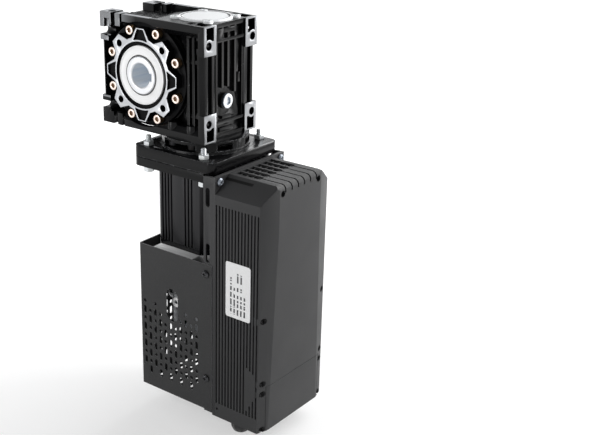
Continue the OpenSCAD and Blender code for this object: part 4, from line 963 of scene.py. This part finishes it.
# Painted shade: a dark ring in the end cap's groove, between these distances in from its rim.
CAP_GROOVE_SHADE = (2.5, 3.7)
STEEL = (0.46, 0.47, 0.49)
ZINC, ZINC_TINT = (0.66, 0.68, 0.71), (0.60, 0.62, 0.60)
cap_low, cap_high = box_mm("worm_end_cap")
cap_radius = (cap_high.x - cap_low.x) / 2
bore_radius = next(m["dims"]["r_mm"] for m in frame["record"]["mounts"] if m["name"] == "output_bore")
finish = {
    "gear_housing": painted_casting("gearbox_paint", housing_planes, thin=pale_front_patch),
    "side_cover": painted_casting("side_cover_paint", [((0, -1, 0), cover_face)], gloss=0.34, shine=0.05),
    # Painted highlight on the screws' fronts, painted shade on their sides and in their sockets.
    "side_cover_screws": lit_front_metal("copper_plating_painted_light", (1.0, 0.84, 0.75), (0.30, 0.19, 0.10),
                                        (0, -1, 0)),
    "output_seals": turned_disc_metal("seal_metal", (0.88, 0.88, 0.88), (0.02, 0.02, 0.02),
                                      0.0, SHAFT_RADIUS + SEAL_RUBBER_AND_SHADE),
    "output_shaft": hollow_shaft_metal("output_shaft_metal", bore_radius),
    "output_bearings": turned_metal("bearing_steel", STEEL, 0.16, pitch=0.5),
    "worm_bearings": turned_metal("worm_bearing_steel", STEEL, 0.16, pitch=0.5, **on_motor),
    "worm_wheel": turned_metal("wheel_bronze", (0.62, 0.40, 0.15), 0.3, pitch=0.5),
    "worm_shaft": turned_metal("worm_steel", (0.42, 0.43, 0.45), 0.2, **on_motor),
    "worm_end_cap": turned_disc_metal("end_cap_aluminium", (0.86, 0.87, 0.88), (0.015, 0.015, 0.016),
                                      cap_radius - CAP_GROOVE_SHADE[1], cap_radius - CAP_GROOVE_SHADE[0],
                                      metallic=0.45, **on_motor),
    "zinc": plated_metal("zinc_plating", ZINC, ZINC_TINT, 0.34, 0.75),
    # Painted highlight on the plug's front, painted shade round its side and in its socket.
    "oil_plug": lit_front_metal("plug_plating_painted_light", (0.80, 0.82, 0.84), (0.30, 0.36, 0.44),
                               (1, 0, 0), 0.36, 0.7),
    "input_seal": plain_finish("seal_rubber", (0.014, 0.014, 0.014), 0.6),
    "input_flange": painted_casting("input_flange_paint", [((0, 0, 1), flange_high.z)], wear=0.55,
                                    **on_motor),
}
print("finishes of the gearbox:", len(finish))

# %% [markdown]
# The motor hangs under the flange. Its bells are castings with the gearbox's paint, and its body is an
# extrusion with dark anodising. Below it stand the brake and the encoder, and a sheet metal cover with
# black powder coat goes round both. The eyelet in the cover's window is pure white, a painted highlight,
# and so the lightest part there, though it stands in the cover's shade.

# %% Finishes of the motor, its brake and its cover
SHEET = 1.2
finish.update({
    "motor_front_bell": painted_casting("front_bell_paint", [], wear=0.45, **on_motor),
    "motor_body": drawn_metal("motor_anodising", (0.014, 0.014, 0.0155), 0.36, metallic=0.6, wear=0.15),
    "stator_core": laminated_steel("stator_laminations", (0.24, 0.24, 0.25)),
    "stator_windings": wound_wire("winding_copper", (0.60, 0.22, 0.08)),
    "motor_shaft": turned_metal("motor_shaft_steel", STEEL, 0.18, pitch=0.3, **on_motor),
    "rotor_core": laminated_steel("rotor_laminations", (0.28, 0.28, 0.29)),
    "rotor_magnets": plain_finish("magnet_nickel", (0.36, 0.35, 0.33), 0.3, 1.0, 0.8, 0.01),
    "rear_bell": painted_casting("rear_bell_paint", [], wear=0.3, **on_motor),
    "brake_housing": drawn_metal("brake_housing_aluminium", (0.80, 0.80, 0.80), 0.5,
                                 (0.03, 2.0, 2.0), 0.25),
    "brake_coil": plain_finish("coil_coating", (0.05, 0.05, 0.055), 0.45, 0.3),
    "brake_armature": turned_metal("armature_steel", (0.40, 0.41, 0.42), 0.3, pitch=0.6, **on_motor),
    "brake_disc": friction_lining("brake_lining", (0.05, 0.038, 0.03)),
    "brake_springs": plated_metal("spring_steel", (0.40, 0.41, 0.42), (0.36, 0.34, 0.30)),
    "brake_bracket": drawn_metal("bracket_zinc", (0.55, 0.56, 0.57), 0.34, (2.0, 0.04, 2.0)),
    "encoder_housing": turned_metal("encoder_aluminium", (0.34, 0.35, 0.37), 0.42, pitch=0.8, **on_motor),
    "encoder_disc": turned_metal("encoder_disc_metal", (0.60, 0.61, 0.63), 0.18, pitch=1.2, **on_motor),
    "encoder_board": circuit_board("encoder_board_lacquer", (1, 1, 0.01)),
    "rear_cover": powder_coat("cover_powder_coat", (0.027, 0.027, 0.0275),
                              cuts=(*box_mm("rear_cover"), SHEET)),
    # Painted highlight: the eyelet is pure white, though it stands in the cover's shade.
    "release_eyelet": plain_finish("eyelet_plating_painted_light", (1.0, 1.0, 1.0), 0.4, 0.0, 2.0, 0.005),
})
print("finishes down to the cover:", len(finish))

# %% [markdown]
# The drive box is a dark plastic moulding on a powder-coated base with an anodised heat sink. Its screws
# are black oxide or zinc. Inside are a green control board with capacitors, the power module and the
# terminal block.

# %% Finishes of the drive box
finish.update({
    "drive_base": powder_coat("base_powder_coat", (0.033, 0.033, 0.034), 0.5),
    "heat_sink": drawn_metal("heat_sink_anodising", (0.018, 0.018, 0.019), 0.4, metallic=0.5),
    # Inside its hollow the box is painted nearly black, as painted shade.
    "drive_housing": moulded_plastic("drive_plastic", (0.033, 0.033, 0.034), hollow=drive_shaded_hollow),
    "terminal_cover": moulded_plastic("terminal_cover_plastic", (0.034, 0.034, 0.035)),
    "cover_screws": plated_metal("cover_screw_zinc", (0.06, 0.06, 0.064), (0.045, 0.045, 0.048), 0.26, 0.9),
    # Painted highlight on the mount screws' fronts, painted shade round their sides.
    "drive_mount_screws": lit_front_metal("mount_screw_zinc_painted_light", (0.42, 0.46, 0.52), (0.10, 0.11, 0.13),
                                         (1, 0, 0), 0.42, 0.5),
    "black_screws": plated_metal("black_oxide", (0.028, 0.028, 0.030), (0.020, 0.019, 0.019), 0.36),
    "rating_plate": printed_plate("plate_print", *box_mm("rating_plate")),
    "control_board": circuit_board("control_board_lacquer", (0.01, 1, 1)),
    "capacitors": plain_finish("capacitor_sleeve", (0.02, 0.035, 0.09), 0.3, 0.0, 0.4, 0.01),
    "power_module": plain_finish("module_plastic", (0.02, 0.02, 0.021), 0.5),
    "terminal_block": plain_finish("terminal_plastic", (0.05, 0.2, 0.09), 0.4),
    "cable_gland": plain_finish("gland_plastic", (0.010, 0.010, 0.011), 0.34, 0.0, 1.0, 0.015),
})
print("finishes in all:", len(finish))

# %% Parts that share a finish
for owner, sharers in {
    "output_bearings": ["output_bearing_outers", "output_bearing_inners"],
    "worm_bearings": ["worm_bearing_outers", "worm_bearing_inners", "motor_bearing_outers",
                      "motor_bearing_inners"],
    "zinc": ["end_cap_screws", "flange_bolts", "flange_nuts", "flange_washers", "motor_tie_screws",
             "release_lever"],
    "black_screws": ["input_flange_screws", "drive_screws"],
    "worm_shaft": ["lever_pin"],
}.items():
    finish.update(dict.fromkeys(sharers, finish[owner]))
print("parts without a finish:", [name for name in nodes if name not in finish])

# %% [markdown]
# ## Round the edges of what shows
# A casting leaves its mould with edges of about half a millimetre, and a machined part is only deburred.
# The cut sheet of the cover keeps crisp edges, which show as clean lines round its holes. The plastic box
# has one radius along its outer form, and its fine grooves stay as they are.

# %% Soft edges
ROUNDING = {
    "gear_housing": 0.6, "side_cover": 0.5, "input_flange": 0.6, "motor_front_bell": 0.6,
    "motor_body": 0.4, "rear_bell": 0.5, "brake_housing": 0.5, "worm_end_cap": 0.5,
    "drive_base": 0.3, "heat_sink": 0.2, "output_shaft": 0.2, "output_seals": 0.3,
    "oil_plug": 0.25, "end_cap_screws": 0.25, "cover_screws": 0.2, "drive_mount_screws": 0.2,
    "flange_washers": 0.15, "release_eyelet": 0.2, "release_lever": 0.2,
    "brake_bracket": 0.25, "brake_coil": 0.5, "encoder_housing": 0.5,
}
for name, width in ROUNDING.items():
    softened(name, width * MM)
print("softened parts:", len(ROUNDING))


# %% Crisp sheet metal, and the plastic box
LONG_EDGE, TURN = 6 * MM, math.radians(6)


def outer_edge(edge):
    """Picks the long edges of the drive box's own form, and none of its grooves."""
    normals = [face.normal for face in edge.link_faces]
    square = all(max(abs(part) for part in normal) > 0.995 for normal in normals)
    return edge.calc_length() > LONG_EDGE and edge.calc_face_angle(0) > TURN and not square


crisp("rear_cover")
crisp("drive_housing", outer_edge)
crisp("terminal_cover", outer_edge)

# %% [markdown]
# ## Fasteners with real detail
# A machined fastener is a body of rings: its face, its chamfer, its side, its thread. So one function
# grows a tube from ring to ring with the extrude operator, and a ring may be round or hexagonal. On a
# hexagon the chamfer is a cone, which cuts the corners lower than the flats and leaves the curved lines
# that make a nut look real. The places come from the frame's own solids, so nothing is placed by hand.

# %% Where the solids of a part are
def solids_of(name):
    """The lowest and highest corner of each separate solid of a part, in millimetres."""
    mesh = welded_mesh(name, join_flats=False)
    waiting, boxes = set(mesh.verts), []
    while waiting:
        stack = [waiting.pop()]
        group = list(stack)
        while stack:
            near = {vert for edge in stack.pop().link_edges for vert in edge.verts} & waiting
            waiting -= near
            stack += near
            group += near
        spread = [[vert.co[axis] / MM for vert in group] for axis in range(3)]
        boxes.append((Vector([min(row) for row in spread]), Vector([max(row) for row in spread])))
    mesh.free()
    return sorted(boxes, key=lambda box: tuple(round(c, 2) for c in box[0]))


def middles_of(name):
    """The middle of each solid of a part, in millimetres."""
    return [(low + high) / 2 for low, high in solids_of(name)]


print("flange bolts stand at", [tuple(round(v, 1) for v in m) for m in middles_of("flange_bolts")])


# %% Grow a body from rings
CHAMFER = math.tan(math.radians(30))


def hexagon_radius(flats):
    """The distance from the middle of a hexagon to a corner, from its width across flats."""
    return flats / math.cos(math.radians(30)) / 2


def ring_point(angle, radius, height, form, slope):
    """One point of a ring that is round, hexagonal with its corners on the radius, or ribbed."""
    if form == "hexagon":
        from_flat = (angle % (math.pi / 3)) - math.pi / 6
        flat = radius * math.cos(math.pi / 6)
        radius = flat / math.cos(from_flat)
        height += slope * (radius - flat)
    elif form == "ribs":
        radius += slope * math.cos(12 * angle)
    return Vector((radius * math.cos(angle), radius * math.sin(angle), height)) * MM


def grown(rings, sides=36, closed=False):
    """A mesh whose wall runs from ring to ring. Each ring is (radius, height, form, slope)."""
    mesh = bmesh.new()
    order = bmesh.ops.create_circle(mesh, segments=sides, radius=1)["verts"]
    angles = [math.atan2(vert.co.y, vert.co.x) for vert in order]
    first = edges = list(mesh.edges)
    for step, ring in enumerate(rings):
        radius, height, form, slope = ring + ("round", 0.0)[len(ring) - 2:]
        if step:
            made = bmesh.ops.extrude_edge_only(mesh, edges=edges)["geom"]
            verts = {item for item in made if isinstance(item, bmesh.types.BMVert)}
            order = [next(edge.other_vert(old) for edge in old.link_edges if edge.other_vert(old) in verts)
                     for old in order]
            edges = [edge for edge in mesh.edges if edge.verts[0] in verts and edge.verts[1] in verts]
        for vert, angle in zip(order, angles):
            vert.co = ring_point(angle, radius, height, form, slope)
    if closed:
        bmesh.ops.remove_doubles(mesh, verts=mesh.verts, dist=0.001 * MM)
    else:
        bmesh.ops.edgeloop_fill(mesh, edges=first)
        bmesh.ops.edgeloop_fill(mesh, edges=edges)
    bmesh.ops.recalc_face_normals(mesh, faces=mesh.faces)
    return mesh


print("a chamfer rises", round(CHAMFER, 3), "mm for each mm")


# %% Stamp a body at its places
def placed(name, mesh, places, turn=Matrix()):
    """Copies a small mesh to each place in millimetres, and lets the set stand for a part."""
    stamp = bpy.data.meshes.new(name + "_stamp")
    mesh.to_mesh(stamp)
    joined = bmesh.new()
    for spot in places:
        start = len(joined.verts)
        joined.from_mesh(stamp)
        joined.verts.ensure_lookup_table()
        move = Matrix.Translation(Vector(spot) * MM) @ turn
        bmesh.ops.transform(joined, matrix=move, verts=joined.verts[start:])
    bpy.data.meshes.remove(stamp)
    mesh.free()
    mark_sharp(joined)
    print(name, "at", len(places), "places, faces:", len(joined.faces))
    return stand_in(name, finished_object(name + "_detailed", joined, body_of(name)))


# %% [markdown]
# ### Bolts and nuts of the flange
# The bolts are M6, with a washer face under the head and a rolled thread. The thread is drawn as plain
# ridges, because its lead does not show at this size. It starts where the nut stands.

# %% Hexagon bolts
HEX_R = hexagon_radius(10)
BOLT_R, FACE_R, WASHER_FACE_R = 3.0, 4.6, 4.8
WASHER_FACE = 0.4
HEX_CUT = (HEX_R * math.cos(math.radians(30)) - FACE_R) * CHAMFER
THREAD_PITCH, THREAD_DEPTH = 1.0, 0.37
POINT_LENGTH, POINT_CUT = 0.8, 0.75


def thread(radius, start, end):
    """The ridges and grooves of a thread along a shank."""
    turns = int((end - start) / THREAD_PITCH)
    return [(radius - THREAD_DEPTH * (half % 2), start + half * THREAD_PITCH / 2)
            for half in range(2 * turns + 1)]


bolt_low, bolt_high = solids_of("flange_bolts")[0]
nut_low, nut_high = solids_of("flange_nuts")[0]
head_top = solids_of("flange_washers")[0][0].z - bolt_low.z
bolt_top = bolt_high.z - bolt_low.z
bolt = [(FACE_R, 0), (HEX_R, HEX_CUT, "hexagon", CHAMFER), (HEX_R, head_top - WASHER_FACE, "hexagon"),
        (WASHER_FACE_R, head_top - WASHER_FACE), (WASHER_FACE_R, head_top), (BOLT_R, head_top)]
bolt += thread(BOLT_R, nut_low.z - bolt_low.z, bolt_top - POINT_LENGTH)
bolt.append((BOLT_R - POINT_CUT, bolt_top))
bolt_middles = middles_of("flange_bolts")
placed("flange_bolts", grown(bolt), [(m.x, m.y, bolt_low.z) for m in bolt_middles])

# %% Hexagon nuts
BORE_CUT = 0.45
NUT_TURN = math.radians(15)
nut_top = nut_high.z - nut_low.z
nut = [(BOLT_R, 0), (FACE_R, 0), (HEX_R, HEX_CUT, "hexagon", CHAMFER),
       (HEX_R, nut_top - HEX_CUT, "hexagon", -CHAMFER), (FACE_R, nut_top), (BOLT_R + BORE_CUT, nut_top),
       (BOLT_R, nut_top - BORE_CUT), (BOLT_R, 0)]
placed("flange_nuts", grown(nut, closed=True), [(m.x, m.y, nut_low.z) for m in bolt_middles],
       Matrix.Rotation(NUT_TURN, 4, "Z"))

# %% [markdown]
# ### Cap screws of the side cover
# These are the brightest small parts of the front. A cap screw is cold formed: the rim of its head rolls
# over in a small radius, and the hexagon socket is punched to half of the head's height.

# %% Cap screws
SHANK_R, SHANK, UNDER_HEAD = 2.95, 16.0, 0.6
HEAD_R, HEAD_H, KEY_R, KEY_FLOOR = 4.99, 6.0, hexagon_radius(5), 3
RIM_STEPS = [(0, 0.9), (0.12, 0.45), (0.45, 0.12), (0.9, 0)]
cap_screw = [(SHANK_R, -SHANK), (SHANK_R, -UNDER_HEAD), (SHANK_R, 0), (HEAD_R, 0)]
cap_screw += [(HEAD_R - inward, HEAD_H - down) for inward, down in RIM_STEPS]
cap_screw += [(KEY_R + 0.15, HEAD_H), (KEY_R, HEAD_H - 0.2, "hexagon"), (KEY_R, KEY_FLOOR, "hexagon")]
screw_front = solids_of("side_cover_screws")[0][0].y
placed("side_cover_screws", grown(cap_screw),
       [(m.x, screw_front + HEAD_H, m.z) for m in middles_of("side_cover_screws")],
       Matrix.Rotation(math.radians(90), 4, "X"))

# %% [markdown]
# ### Springs of the brake, and the cable gland
# A spring is a wire that is wound at a steady rise, which is what the spin operator does. The gland is a
# moulded nut with ribs for the fingers, on a body with a hexagon for the wrench and a neck that goes into
# the drive box.

# %% Springs
WIRE_R, WIRE_SIDES = 0.42, 8
COIL_R, COIL_TURNS, TURN_STEPS = 2.15, 7, 24
springs = solids_of("brake_springs")
coil_rise = springs[0][1].z - springs[0][0].z - 2 * WIRE_R
wire = bmesh.new()
bmesh.ops.create_circle(wire, segments=WIRE_SIDES, radius=WIRE_R * MM)
bmesh.ops.rotate(wire, verts=wire.verts, cent=(0, 0, 0), matrix=Matrix.Rotation(math.pi / 2, 3, "X"))
bmesh.ops.translate(wire, verts=wire.verts, vec=(COIL_R * MM, 0, WIRE_R * MM))
steps = COIL_TURNS * TURN_STEPS
bmesh.ops.spin(wire, geom=wire.verts[:] + wire.edges[:], cent=(0, 0, 0), axis=(0, 0, 1),
               dvec=(0, 0, coil_rise * MM / steps), angle=2 * math.pi * COIL_TURNS, steps=steps,
               use_merge=False)
ends = [edge for edge in wire.edges if edge.is_boundary]
bmesh.ops.holes_fill(wire, edges=ends, sides=WIRE_SIDES)
bmesh.ops.recalc_face_normals(wire, faces=wire.faces)
placed("brake_springs", wire,
       [((low.x + high.x) / 2, (low.y + high.y) / 2, low.z) for low, high in springs])

# %% Cable gland
GLAND_HEX, GLAND_BORE, NECK_R = hexagon_radius(24) - 0.1, 5.0, 7.98
gland_low, gland_high = box_mm("cable_gland")
gland_top = gland_high.z - gland_low.z
gland = [(GLAND_BORE, 0), (7.6, 0), (8.6, 0.8), (10.6, 5.6, "ribs", 0.25), (11.1, 8, "ribs", 0.3),
         (11.1, 16.2, "ribs", 0.3), (10.4, 17), (10.4, 17.2), (GLAND_HEX, 17.6, "hexagon", CHAMFER),
         (GLAND_HEX, 24, "hexagon"), (NECK_R, 24), (NECK_R, gland_top), (GLAND_BORE, gland_top),
         (GLAND_BORE, 0)]
gland_middle = (gland_low + gland_high) / 2
placed("cable_gland", grown(gland, 72, closed=True), [(gland_middle.x, gland_middle.y, gland_low.z)])


# %% Paint every part
def paint(piece, material):
    """Gives a piece one material in all its slots."""
    piece.data.materials.clear()
    piece.data.materials.append(material)
    for face in piece.data.polygons:
        face.material_index = 0


for name, piece in shown.items():
    paint(piece, finish[name])
print("parts with softened edges:", sum(1 for piece in shown.values() if piece.modifiers))
